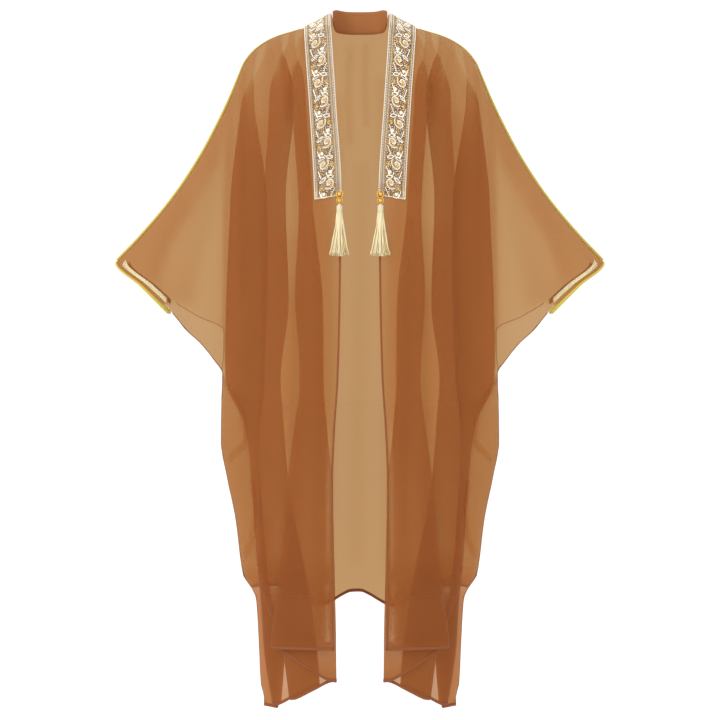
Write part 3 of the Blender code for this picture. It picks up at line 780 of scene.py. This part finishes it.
def cord_shape(points, radii, spacing, sides, pitch, depth):
    """A plied cord of two strands along the points, with a radius that changes evenly."""
    finer, shares = finer_line(points, spacing)
    reach = np.interp(shares, np.linspace(0, 1, len(radii)), radii)
    return tube(finer, reach, sides=sides, twist=2 * math.pi / pitch, depth=depth)


front_cloth = sheer_material("front_sheer", FRONT_COLOUR, FRONT_COVER, FRONT_TINT, 0.4, COLOUR_BY_DENSITY)
back_cloth = sheer_material("back_sheer", BACK_COLOUR, BACK_COVER, BACK_TINT, 0.45)
hem_cloth = plain_material("doubled_hem", (0.250, 0.072, 0.018), 0.90, alpha=0.90)
back_hem_cloth = plain_material("doubled_back_hem", (0.280, 0.085, 0.024), 0.90, alpha=0.90)
collar_cloth = plain_material("doubled_collar", (0.350, 0.122, 0.028), 0.80)
stitch_thread = plain_material("stitch_thread", (0.300, 0.100, 0.030), 0.60)
band_ground = plain_material("band_ground", (0.150, 0.072, 0.028), 0.70)
silver_bead = plain_material("silver_bead", (0.960, 0.930, 0.820), 0.30, metallic=0.25)
gold_thread = plain_material("gold_thread", (0.800, 0.520, 0.150), 0.30, metallic=0.60)
pale_cord = plain_material("pale_cord", (0.860, 0.790, 0.600), 0.55)
lime_satin = plain_material("lime_satin", (0.520, 0.400, 0.045), 0.42, sheen=0.2)
lime_braid = plain_material("lime_braid", (0.860, 0.850, 0.560), 0.35, metallic=0.35)
braid_ground = sheer_material("braid_ground", (0.780, 0.560, 0.360), 0.75, (0.90, 0.75, 0.55), 0.6)
polished_gold = plain_material("polished_gold", (0.720, 0.430, 0.090), 0.16, metallic=1.0)
cream_thread = plain_material("cream_thread", (0.930, 0.860, 0.600), 0.55, sheen=0.2)
# Amber thread of the tassel: painted shade, a darker colour that stands for the gaps between its cream
# threads
gap_shade_thread = plain_material("gap_shade_thread", (0.560, 0.360, 0.090), 0.50)
wrap_thread = plain_material("wrap_thread", (0.700, 0.620, 0.450), 0.55)
pale_floor = plain_material("pale_floor", (0.975, 0.975, 0.975), 0.9)


def front_density(grid):
    """Full on the gathered body, thinner on the stretched sleeve and thinnest under the arm."""
    x = np.abs(grid[..., 0])
    z = grid[..., 2]
    below_line = shoulder_heights(x) - z
    places = np.arange(grid.shape[1]) / ACROSS
    density = np.empty(grid.shape[:2])
    names = DENSITY_COLUMNS[1:]
    for row, height in enumerate(z[:, MIDDLE_COLUMN * ACROSS]):
        levels = [smooth_table(FRONT_DENSITY, DENSITY_COLUMNS.index(name), height) for name in names]
        density[row] = np.interp(places, DENSITY_AT, levels)
    # The folds start to lap below the shoulder, so their hidden layers are thin there
    full = ease(0.02, LAP_FULL_DROP, z[:1] - z)
    for lap in LAP_PLACES:
        hidden = 1 - ease(1.6, 2.8, np.abs(places - lap))
        density *= 1 - (1 - LAP_TOP_DENSITY) * hidden * (1 - full)
    sleeve = ease(SLEEVE_FROM_X, SLEEVE_TO_X, x) * (1 - ease(0.68, 0.73, -z))
    stretched = SLEEVE_DENSITY + (SLEEVE_END_DENSITY - SLEEVE_DENSITY) * ease(0.30, 0.44, x)
    under_top = 1 - ease(0.02, 0.13, below_line)
    stretched += SLEEVE_TOP_DENSITY * under_top * (1 - 0.75 * ease(0.29, 0.42, x))
    density += (stretched - density) * sleeve
    # A dark line under the piping, where the seam is turned in
    turned_in = 1 - ease(0.003, 0.007, below_line)
    density += SEAM_DENSITY * turned_in * ease(0.12, 0.20, x)
    cuff = ease(2.8, 3.4, places - (places[-1] - 5.0)) * ease(0.36, 0.37, x) * (z > CUFF_LOW_Z)
    density += (CUFF_DENSITY - density) * cuff
    line = np.array(UNDERARM_LINE[:3])[::-1]
    below = np.interp(x, line[:, 0], line[:, 1])
    under = ease(0.0, 0.004, below - z) * ease(0.266, 0.270, x) * (1 - ease(0.71, 0.73, -z))
    return density + (UNDERARM_DENSITY - density) * under


def back_density(grid):
    return 1 - BACK_SLEEVE_THINNER * ease(0.24, 0.32, np.abs(grid[..., 0]))


def fit_shoulder(grid, away):
    """Brings the top row onto the shoulder line, and the rows below it by less and less."""
    x = np.abs(grid[0, :, 0])
    outside = x > NECK_HALF_WIDTH
    gap_z = np.where(outside, shoulder_heights(x) - grid[0, :, 2], 0.0)
    gap_y = np.where(outside, line_depth(x) + away * SEAM_GAP - grid[0, :, 1], 0.0)
    reach = np.clip(1 - (grid[:1, :, 2] - grid[..., 2]) / FIT_DROP, 0, 1) ** 2
    fitted = grid.copy()
    fitted[..., 2] += gap_z * reach
    fitted[..., 1] += gap_y * reach
    return fitted


def mirrored(grid, side):
    return grid * np.array((side, 1, 1))


def strip_along(edge, inner, normals, width, wall):
    """A hem: a narrow flat strip that lies round the edge, closed all round."""
    way = inner - edge
    way /= np.linalg.norm(way, axis=1, keepdims=True) + 1e-9
    far = edge + way * width
    rings = np.stack([
        far + normals * wall,
        edge + normals * wall,
        edge - way * wall,
        edge - normals * wall,
        far - normals * wall,
    ], axis=1)
    count = len(edge)
    faces = grid_faces(count, 5, closed=True)
    faces.append((4, 3, 2, 1, 0))
    faces.append(tuple((count - 1) * 5 + index for index in range(5)))
    return rings.reshape(-1, 3), faces


# The cloth of the fronts and the back
front = fit_shoulder(finer_across(front_grid(), ACROSS), -1)
front, front_thick = crease(front, FRONT_CREASES, -1)
front_thick += front_density(front)
back = fit_shoulder(finer_across(back_grid(), ACROSS), 1)
back, back_thick = crease(back, BACK_CREASES, 1)
back_thick += back_density(back)
front_normals = outward(front, (0, -1, 0))
back_normals = outward(back, (0, 1, 0))
cuff_row = int(np.argmax(front[:, -1, 2] < CUFF_LOW_Z))
back_sheet = add_piece("back_sheet", open_sheet(back), back_cloth, ["back_panel"], back_thick)


def underarm_seam(panel, side):
    """A thin raised seam where the sleeve's lower edge is sewn to its under side."""
    points = []
    for x, z in round_line(UNDERARM_LINE, 30):
        gap = np.hypot(np.abs(panel[..., 0]) - x, panel[..., 2] - z)
        row, column = np.unravel_index(int(np.argmin(gap)), gap.shape)
        points.append((side * x, panel[row, column, 1] - 0.0006, z))
    line, _ = finer_line(points, 0.01)
    return tube(line, [SEAM_RADIUS] * len(line), sides=6)


for side, hand in SIDES:
    panel = mirrored(front, side)
    normals = mirrored(front_normals, side)
    nodes = [f"front_panel_{hand}"]
    sheet = add_piece(
        f"front_sheet_{hand}", open_sheet(panel), front_cloth, nodes, front_thick)
    lower = slice(cuff_row, None)
    hems = add_piece(f"front_hems_{hand}", join([
        strip_along(panel[-1], panel[-3], normals[-1], *FRONT_LOWER_HEM),
        strip_along(panel[:, 0], panel[:, 1], normals[:, 0], *FRONT_EDGE_HEM),
        strip_along(panel[lower, -1], panel[lower, -5], normals[lower, -1], *FRONT_SIDE_HEM),
        underarm_seam(panel, side),
    ]), hem_cloth)

back_strip = strip_along(back[-1], back[-3], back_normals[-1], *BACK_LOWER_HEM)
back_hem = add_piece("back_hem", back_strip, back_hem_cloth)


class Surface:
    """Places on a grid of points by distance: across from its first column and down from its first row."""

    def __init__(self, grid, normals):
        self.grid = grid
        self.normals = normals
        rows, columns = grid.shape[:2]
        self.across = np.zeros((rows, columns))
        self.across[:, 1:] = np.cumsum(np.linalg.norm(np.diff(grid, axis=1), axis=2), axis=1)
        self.down = lengths_along(grid[:, columns // 2])
        self.width = float(np.median(self.across[:, -1]))
        self.length = float(self.down[-1])

    def at(self, share, down, lift):
        """The point at a share of the width and a distance down, lifted off the cloth."""
        row = np.interp(down, self.down, np.arange(len(self.down)))
        low = int(min(row, len(self.down) - 2))
        part = row - low
        found = []
        for source in (self.grid, self.normals):
            sides = []
            for index in (low, low + 1):
                widths = self.across[index] / self.across[index, -1]
                line = source[index]
                sides.append(np.array([np.interp(share, widths, line[:, axis]) for axis in range(3)]))
            found.append(sides[0] + (sides[1] - sides[0]) * part)
        return found[0] + found[1] * lift, found[1]

    def frame(self, share, down, lift):
        """The point with its directions: across the cloth, down it and out of it."""
        place, normal = self.at(share, down, lift)
        step = 0.001
        beside, _ = self.at(share, min(down + step, self.length), lift)
        above, _ = self.at(share, max(down - step, 0.0), lift)
        run = beside - above
        run /= np.linalg.norm(run) + 1e-12
        normal = normal / (np.linalg.norm(normal) + 1e-12)
        side = np.cross(normal, run)
        return place, side / (np.linalg.norm(side) + 1e-12), run, normal


def bead_shape(sides, rings):
    """A unit sphere with its poles along the third axis."""
    points = [(0.0, 0.0, 1.0)]
    for ring in range(1, rings):
        tilt = math.pi * ring / rings
        for index in range(sides):
            turn = 2 * math.pi * index / sides
            points.append((math.sin(tilt) * math.cos(turn), math.sin(tilt) * math.sin(turn), math.cos(tilt)))
    points.append((0.0, 0.0, -1.0))
    faces = [(0, 1 + index, 1 + (index + 1) % sides) for index in range(sides)]
    for ring in range(rings - 2):
        low = 1 + ring * sides
        for index in range(sides):
            after = (index + 1) % sides
            faces.append((low + index, low + sides + index, low + sides + after, low + after))
    low = 1 + (rings - 2) * sides
    end = len(points) - 1
    faces += [(low + index, end, low + (index + 1) % sides) for index in range(sides)]
    return np.array(points), faces


SMALL_SPHERE, SMALL_SPHERE_FACES = bead_shape(6, 4)


def joined_beads(places):
    """Beads as one shape. Each is a centre, a long direction, an out direction and three half sizes."""
    shapes = []
    for centre, run, normal, half_length, half_width, half_height in places:
        side = np.cross(normal, run)
        points = SMALL_SPHERE[:, :1] * side * half_width + SMALL_SPHERE[:, 1:2] * normal * half_height
        shapes.append((centre + points + SMALL_SPHERE[:, 2:] * run * half_length, SMALL_SPHERE_FACES))
    return join(shapes)


def slab(grid, normals, half):
    """A closed strip of cloth with a wall round its edge."""
    rows, columns = grid.shape[:2]
    count = rows * columns
    points = np.concatenate([(grid + normals * half).reshape(-1, 3), (grid - normals * half).reshape(-1, 3)])
    faces = grid_faces(rows, columns)
    faces += [tuple(index + count for index in face[::-1]) for face in faces]
    border = list(range(columns))
    border += [row * columns + columns - 1 for row in range(1, rows)]
    border += [(rows - 1) * columns + column for column in range(columns - 2, -1, -1)]
    border += [row * columns for row in range(rows - 2, 0, -1)]
    for first, after in zip(border, border[1:] + border[:1]):
        faces.append((after, first, first + count, after + count))
    return points, faces


def laid_bead(surface, share, down, lift, angle, sizes):
    """One bead on a surface, its long way turned from straight down towards the side."""
    place, side, run, normal = surface.frame(share, down, lift)
    way = run * math.cos(angle) + side * math.sin(angle)
    return (place, way, normal, *sizes)


def bead_column(surface, share, pitch, angle, sizes):
    """A column of beads. Slanted ones read as a twisted cord sewn down."""
    places = [(index + 0.5) * pitch for index in range(int(surface.length / pitch))]
    return [laid_bead(surface, share, down, BEAD_LIFT, angle, sizes) for down in places]


def sewn_cord(points, radius):
    return tube(points, [radius] * len(points), sides=6, twist=SEWN_CORD_TWIST, depth=SEWN_CORD_DEPTH)


def edge_cord(surface, share):
    places = np.arange(0.0, surface.length, 0.0012)
    return sewn_cord([surface.at(share, down, BEAD_LIFT)[0] for down in places], 0.0006)


def curve_beads(surface, curve, spacing, sizes, lift):
    """Beads end to end along a curve, which is given in metres across and down, and their centres."""
    curve = np.array(curve)
    lengths = flat_lengths(curve)
    count = max(int(lengths[-1] / spacing), 1)
    placed = []
    centres = []
    for index in range(count):
        at = (index + 0.5) * lengths[-1] / count
        across, down = [float(np.interp(at, lengths, curve[:, axis])) for axis in range(2)]
        ahead = [float(np.interp(at + 0.0005, lengths, curve[:, axis])) for axis in range(2)]
        angle = math.atan2(ahead[0] - across, ahead[1] - down)
        if 0.0 < down < surface.length and 0.0 < across < surface.width:
            placed.append(laid_bead(surface, across / surface.width, down, lift, angle, sizes))
            centres.append((across, down))
    return placed, centres


def spiral(centre, radius, start, turns, way, steps=40):
    """A scroll that winds in towards its eye."""
    points = []
    for index in range(steps):
        share = index / (steps - 1)
        reach = radius * (1 - 0.78 * share)
        angle = start + way * turns * 2 * math.pi * share
        points.append((centre[0] + reach * math.cos(angle), centre[1] + reach * math.sin(angle)))
    return points


def leaf(root, tip, belly):
    """Both sides of a pointed leaf."""
    root = np.array(root)
    tip = np.array(tip)
    run = tip - root
    side = np.array((-run[1], run[0])) * belly
    shares = np.linspace(0, 1, 12)
    bend = np.sin(np.pi * shares)
    return [[tuple(root + run * s + side * sign * b) for s, b in zip(shares, bend)] for sign in (1, -1)]


def motif(top, pitch, way):
    """One repeat of the band: the eyes of its two scrolls, and its lines of beads.

    Each line is a metal, a curve, the bead's sizes and the beads' spacing.
    """
    low, high = BAND_FIELD
    middle = (low + high) / 2
    half = (high - low) / 2
    eye = (middle - way * half * 0.30, top + pitch * 0.36)
    other = (middle + way * half * 0.42, top + pitch * 0.84)
    start = math.pi * (0.5 - 0.5 * way) + 0.6
    other_start = math.pi * (0.5 + 0.5 * way) - 0.4
    lines = [
        ("silver", spiral(eye, half * 0.66, start, 1.25, way), BUGLE, 0.0031),
        ("gold", spiral(eye, half * 0.50, start, 1.1, way), SMALL_BEAD, 0.0024),
        ("silver", spiral(other, half * 0.44, other_start, 1.0, -way), BUGLE, 0.0031),
    ]
    for side, bulge in ((1, 0.16), (-1, 0.20)):
        root = (middle + side * half * 0.10, top + pitch * 0.02)
        tip = (middle + side * half * 0.88, top + pitch * (0.20 if side == way else 0.12))
        lines += [("silver", edge, BUGLE, 0.0030) for edge in leaf(root, tip, bulge)]
    root = (middle + way * half * 0.55, top + pitch * 0.50)
    for turn in (-0.9, -0.2, 0.5):
        tip = (root[0] + way * half * 0.36 * math.cos(turn), root[1] + half * 0.42 * math.sin(turn))
        lines.append(("gold", [root, tip], BUGLE, 0.0030))
    for from_x, from_share, to_x, to_share in (
        (low + 0.0006, 0.62, low + half * 0.55, 0.98),
        (high - 0.0006, 0.60, high - half * 0.30, 0.99),
    ):
        ends = [(from_x, top + pitch * from_share), (to_x, top + pitch * to_share)]
        lines.append(("silver", ends, BUGLE, 0.0030))
    return eye, other, lines


def embroidery(surface, rng):
    """Scrolls, leaves and rosettes of silver and gold beads between corded borders."""
    width = surface.width
    beads = {"silver": [], "gold": []}
    taken = []

    def lay(metal, spot, lift, angle, sizes):
        beads[metal].append(laid_bead(surface, spot[0] / width, spot[1], lift, angle, sizes))

    for metal, across, pitch, angle, sizes in BORDER_COLUMNS:
        share = across / width if across > 0 else 1 + across / width
        beads[metal] += bead_column(surface, share, pitch, angle, sizes)
    count = int(round(surface.length / MOTIF_LENGTH))
    pitch = surface.length / count
    for index in range(count):
        eye, other, lines = motif(index * pitch, pitch, 1 if index % 2 == 0 else -1)
        for metal, curve, sizes, spacing in lines:
            placed, centres = curve_beads(surface, curve, spacing, sizes, BEAD_LIFT + 0.0003)
            beads[metal] += placed
            taken += centres
        for centre, metal, ring_metal in ((eye, "gold", "silver"), (other, "silver", "gold")):
            if centre[1] >= surface.length - 0.002:
                continue
            lay(metal, centre, BEAD_LIFT + 0.0006, 0.0, BIG_BEAD)
            taken.append(centre)
            for step in range(ROSETTE_BEADS):
                angle = 2 * math.pi * step / ROSETTE_BEADS
                spot = (
                    centre[0] + ROSETTE_RADIUS * math.cos(angle),
                    centre[1] + ROSETTE_RADIUS * math.sin(angle),
                )
                if 0.001 < spot[1] < surface.length - 0.001:
                    lay(ring_metal, spot, BEAD_LIFT, 0.0, SMALL_BEAD)
                    taken.append(spot)
    # Loose beads where there is still room
    low, high = BAND_FIELD
    taken = np.array(taken)
    for _ in range(FILL_TRIES):
        spot = np.array((rng.uniform(low, high), rng.uniform(0.001, surface.length - 0.001)))
        if np.hypot(*(taken - spot).T).min() > FILL_GAP:
            metal = "gold" if rng.random() < 0.50 else "silver"
            lay(metal, spot, BEAD_LIFT - 0.0002, rng.uniform(-1.5, 1.5), SMALL_BEAD)
            taken = np.concatenate([taken, spot[None]])
    return beads


def band_rows(panel):
    """The part of the front that the band covers, with its slanting lower end."""
    strip = panel[:, :BAND_COLUMNS + 1]
    last = int(np.searchsorted(-strip[:, -1, 2], -BAND_END_Z))
    end = []
    for column in range(BAND_COLUMNS + 1):
        target = BAND_END_Z - BAND_END_SLANT * column / BAND_COLUMNS
        below = int(np.searchsorted(-strip[:, column, 2], -target))
        upper, lower = strip[below - 1, column], strip[below, column]
        end.append(upper + (lower - upper) * (upper[2] - target) / (upper[2] - lower[2]))
    return last, np.array(end)


def shoulder_cord(side):
    """Points and radii of the piping along the shoulder line and the sleeve's top fold."""
    points = []
    radii = []
    for x in np.linspace(PIPING_FROM_X, PIPING_TO_X, 90):
        slope = (shoulder_height(x + 0.004) - shoulder_height(x - 0.004)) / 0.008
        rise = np.array((-slope, 1.0)) / math.hypot(slope, 1.0)
        radius = PIPING_THIN + (PIPING_THICK - PIPING_THIN) * float(ease(0.14, 0.28, x))
        lift = radius * 0.6
        points.append((side * (x + rise[0] * lift), line_depth(x), shoulder_height(x) + rise[1] * lift))
        radii.append(radius)
    return points, radii


def cuff_cord(down, up):
    """Points and radii of the cord round a cuff's mouth, down the front's edge and up the back's."""
    run = down[-1] - down[0]
    out = np.array((-run[2], 0.0, run[0])) / math.hypot(run[0], run[2])
    out = out if out[2] < 0 else -out
    loop = []
    radii = []
    for point in [*down, *up[:-1]]:
        share = min(max((down[0][2] - point[2]) / (CUFF_TOP_Z - CUFF_LOW_Z), 0.0), 1.0)
        radius = CUFF_PIPING_THIN + (CUFF_PIPING_THICK - CUFF_PIPING_THIN) * share ** 2
        loop.append(point + out * radius)
        radii.append(radius)
    return [*loop, loop[0]], [*radii, radii[0]]


def braid_stitches(surface):
    """Metal stitches on a cuff braid: two rows that lean to and fro, and a fine row at each edge."""
    stitches = []
    for index in range(int(surface.length / BRAID_PITCH)):
        down = (index + 0.5) * BRAID_PITCH
        lean = BRAID_LEAN if index % 2 == 0 else -BRAID_LEAN
        for share, lift, angle, sizes in (
            (0.34, 0.0020, lean, BRAID_STITCH),
            (0.66, 0.0020, -lean, BRAID_STITCH),
            (0.05, 0.0018, 0.0, BRAID_EDGE_STITCH),
            (0.95, 0.0018, 0.0, BRAID_EDGE_STITCH),
        ):
            stitches.append(laid_bead(surface, share, down, lift, angle, sizes))
    return stitches


def collar_grid():
    inset = CLOTH_WALL + SEAM_GAP + COLLAR_WALL / 2
    rows = []
    for rise in np.linspace(0, 1, 9):
        row = []
        for angle in np.linspace(-1, 1, 61):
            share = math.sin(angle * math.pi / 2) * 0.985
            x = share * (NECK_HALF_WIDTH - inset)
            y = max(neck_back(share * NECK_HALF_WIDTH) - inset, 0.002)
            back_share = y / NECK_DEPTH
            low = -NECK_DROP * min(1.0, 1.6 * back_share) - COLLAR_LAP
            high = COLLAR_TOP - (COLLAR_TOP + 0.001) * (1 - min(1.0, 1.35 * back_share)) ** 1.5
            row.append((x, y, low + (high - low) * rise))
        rows.append(row)
    return np.array(rows)


def stitch_row(points, normals, length, gap, radius):
    """A line of short stitches along the points."""
    finer, _ = finer_line(points, 0.001)
    lengths = lengths_along(finer)
    placed = []
    at = gap
    while at + length < lengths[-1]:
        start, end = [
            np.array([np.interp(spot, lengths, finer[:, axis]) for axis in range(3)])
            for spot in (at, at + length)
        ]
        run = end - start
        run /= np.linalg.norm(run) + 1e-12
        share = (at + length / 2) / lengths[-1]
        normal = normals[min(int(share * len(normals)), len(normals) - 1)]
        placed.append(((start + end) / 2 + normal * radius * 0.4, run, normal, length / 2, radius, radius))
        at += length + gap
    return placed


def tassel_loop(middle, wide, tall):
    """A twisted loop of thread round a gold bead."""
    ring = []
    for turn in np.linspace(0, 2 * math.pi, 60):
        reach = (wide * math.sin(turn), 0.0005 * math.cos(2 * turn), tall * math.cos(turn))
        ring.append(middle + np.array(reach))
    return cord_shape(ring, [0.00075, 0.00075], spacing=0.0006, sides=6, pitch=0.0034, depth=0.22)


def tassel_wrap(x, y, top):
    """Thread wound round the tassel's head, on a smooth core."""
    coil = []
    steps = WRAP_TURNS * 18
    for index in range(steps):
        share = index / (steps - 1)
        angle = 2 * math.pi * WRAP_TURNS * share
        reach = 0.0049 * (1 + 0.10 * math.sin(math.pi * share))
        coil.append((x + reach * math.cos(angle), y + reach * math.sin(angle), top - 0.0040 - 0.0112 * share))
    core, core_faces = bead_shape(16, 10)
    core = core * np.array((0.0050, 0.0050, 0.0078)) + np.array((x, y, top - 0.0086))
    return join([tube(coil, [0.00062] * len(coil), sides=5), (core, core_faces)])


def tassel_strands(x, y, head_low, rng):
    """The hanging strands in two groups, cream and amber, which fan out and curl at their ends; the amber
    ones are painted shade that stands for the dark gaps between the threads.
    """
    groups = ([], [])
    for index in range(STRANDS):
        reach = math.sqrt((index + 0.5) / STRANDS)
        angle = GOLDEN_ANGLE * index
        start = np.array((0.0047 * reach * math.cos(angle), 0.0047 * reach * math.sin(angle)))
        fan = np.array((0.0182 * reach * math.cos(angle), 0.0086 * reach * math.sin(angle)))
        length = STRAND_LENGTH * (1 - 0.07 * rng.random()) * (1 - 0.03 * reach)
        sway = rng.uniform(-1, 1)
        curl = rng.uniform(0.4, 1.0) * (1 if math.cos(angle) > 0 else -1)
        strand = []
        for step in range(13):
            share = step / 12
            spread = start + (fan - start) * share ** 1.25
            wave = 0.0006 * math.sin(7 * share + 3 * sway)
            tip = max(share - 0.86, 0.0) / 0.14
            strand.append((
                x + spread[0] + wave + 0.0022 * curl * tip ** 2,
                y + spread[1] + 0.0004 * math.cos(6 * share + 5 * sway),
                head_low + 0.0015 - length * share + 0.0012 * tip ** 2,
            ))
        # About four strands in ten take the amber of the painted gap shade
        groups[1 if rng.random() < 0.42 else 0].append(tube(strand, [STRAND_RADIUS] * len(strand), sides=4))
    return groups


# Collar
collar = collar_grid()
collar_normals = outward(collar, (0, 1, 0))
collar_strip = slab(collar, collar_normals, COLLAR_WALL / 2)
collar_piece = add_piece("collar", collar_strip, collar_cloth, ["neck_collar"])
stitches = []
for row in (1, 7):
    inward = -collar_normals[row]
    line = collar[row] + inward * (COLLAR_WALL / 2)
    stitches += stitch_row(line, inward, length=0.0026, gap=0.0012, radius=0.00028)
stitched = add_piece("collar_stitches", joined_beads(stitches), stitch_thread)

last_row, band_end = band_rows(front)
for side, hand in SIDES:
    panel = mirrored(front, side)
    normals = mirrored(front_normals, side)

    # Embroidered band
    strip = np.concatenate([panel[:last_row, :BAND_COLUMNS + 1], mirrored(band_end, side)[None]])
    strip_normals = normals[:last_row + 1, :BAND_COLUMNS + 1]
    ground = slab(strip + strip_normals * BAND_LIFT, strip_normals, BAND_HALF_WALL)
    band = add_piece(f"band_ground_{hand}", ground, band_ground, [f"beaded_band_{hand}"])
    surface = Surface(strip, strip_normals)
    beads = embroidery(surface, random.Random(5))
    add_piece(f"band_silver_{hand}", joined_beads(beads["silver"]), silver_bead)
    add_piece(f"band_gold_{hand}", joined_beads(beads["gold"]), gold_thread)
    inset = 0.0002 / surface.width
    bottom_down = surface.length - 0.0008
    bottom = [surface.at(share, bottom_down, 0.0028)[0] for share in np.linspace(0.01, 0.99, 50)]
    cords = [edge_cord(surface, inset), edge_cord(surface, 1 - inset), sewn_cord(bottom, 0.0007)]
    add_piece(f"band_cords_{hand}", join(cords), pale_cord)

    # Piping along the shoulder and the sleeve's top fold, and round the cuff
    shoulder = cord_shape(*shoulder_cord(side), spacing=0.0011, sides=8, pitch=0.0075, depth=0.10)
    add_piece(f"shoulder_piping_{hand}", shoulder, lime_satin, [f"sleeve_piping_{hand}"])
    back_edge = back[:cuff_row, -1 if side == 1 else 0]
    mouth = cuff_cord(panel[:cuff_row, -1], back_edge[::-1])
    mouth = cord_shape(*mouth, spacing=0.0012, sides=10, pitch=0.0100, depth=0.05)
    add_piece(f"cuff_cord_{hand}", mouth, lime_satin, [f"cuff_piping_{hand}"])

    # Braid on the front and the back of the cuff
    front_braid = slice(-3 * ACROSS - 1, -2 * ACROSS)
    back_braid = slice(-5 * ACROSS - 1, -4 * ACROSS) if side == 1 else slice(4 * ACROSS, 5 * ACROSS + 1)
    for name, source, facing, columns, carrier in (
        ("front", panel, normals, front_braid, f"front_sheet_{hand}"),
        ("back", back, back_normals, back_braid, "back_sheet"),
    ):
        top_row = int(np.argmax(source[:, columns, 2].max(axis=1) < CUFF_TOP_Z + 0.004))
        ribbon = source[top_row:cuff_row - 1, columns]
        ribbon_normals = facing[top_row:cuff_row - 1, columns]
        points, faces = slab(ribbon + ribbon_normals * 0.0012, ribbon_normals, 0.0004)
        piece = add_piece(
            f"cuff_ribbon_{name}_{hand}", (points, faces), braid_ground,
            [f"cuff_braid_{name}_{hand}"], np.ones(len(points)))
        metal = joined_beads(braid_stitches(Surface(ribbon, ribbon_normals)))
        add_piece(f"cuff_metal_{name}_{hand}", metal, lime_braid)

    # Two gold beads, the twisted loops that hold them, and the tassel
    loops = []
    for level, wide, tall in (("upper", 0.0062, 0.0074), ("lower", 0.0056, 0.0058)):
        node = f"tassel_bead_{level}_{hand}"
        low_corner, high_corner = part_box(node)
        middle = (np.array(low_corner) + np.array(high_corner)) / 2
        radius = (high_corner[2] - low_corner[2]) / 2
        ball, ball_faces = bead_shape(20, 14)
        ball = middle + ball * radius
        add_piece(f"gold_bead_{level}_{hand}", (ball, ball_faces), polished_gold, [node])
        loops.append(tassel_loop(middle, wide, tall))
    add_piece(f"tassel_loops_{hand}", join(loops), gold_thread, [f"tassel_link_{hand}"])

    low_corner, high_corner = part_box(f"tassel_{hand}")
    x, y = [(low_corner[axis] + high_corner[axis]) / 2 for axis in range(2)]
    top = high_corner[2]
    add_piece(f"tassel_wrap_{hand}", tassel_wrap(x, y, top), wrap_thread)
    cream, gap_shade = tassel_strands(x, y, top - TASSEL_HEAD, random.Random(21))
    add_piece(f"tassel_skirt_{hand}", join(cream), cream_thread, [f"tassel_{hand}"])
    # The amber strands are painted shade for the gaps between the cream threads
    add_piece(f"tassel_amber_{hand}", join(gap_shade), gap_shade_thread)

floor_corners = [(-20, -12, FLOOR_Z), (20, -12, FLOOR_Z), (20, 28, FLOOR_Z), (-20, 28, FLOOR_Z)]
floor_mesh = bpy.data.meshes.new("floor")
floor_mesh.from_pydata(floor_corners, [], [(0, 1, 2, 3)])
floor_mesh.materials.append(pale_floor)
floor = new_object("floor", floor_mesh)

world = bpy.data.worlds.new("studio")
bpy.context.scene.world = world
world.use_nodes = True
background = world.node_tree.nodes["Background"]
background.inputs["Color"].default_value = (1.0, 1.0, 1.0, 1.0)
background.inputs["Strength"].default_value = WORLD_STRENGTH

light_data = bpy.data.lights.new("key", "AREA")
light_data.shape = "DISK"
light_data.size = LIGHT_SIZE
light_data.energy = LIGHT_POWER
light = new_object("key", light_data)
light.location = LIGHT_PLACE
light.rotation_euler = (Vector(LIGHT_AIM) - Vector(LIGHT_PLACE)).to_track_quat("-Z", "Y").to_euler()

camera_data = bpy.data.cameras.new("camera")
camera_data.lens = CAMERA_LENS
camera_data.sensor_width = 36.0
camera = new_object("camera", camera_data)
camera.location = CAMERA_PLACE
camera.rotation_euler = (math.radians(90), 0.0, 0.0)
bpy.context.scene.camera = camera
bpy.context.scene.view_settings.view_transform = "Standard"
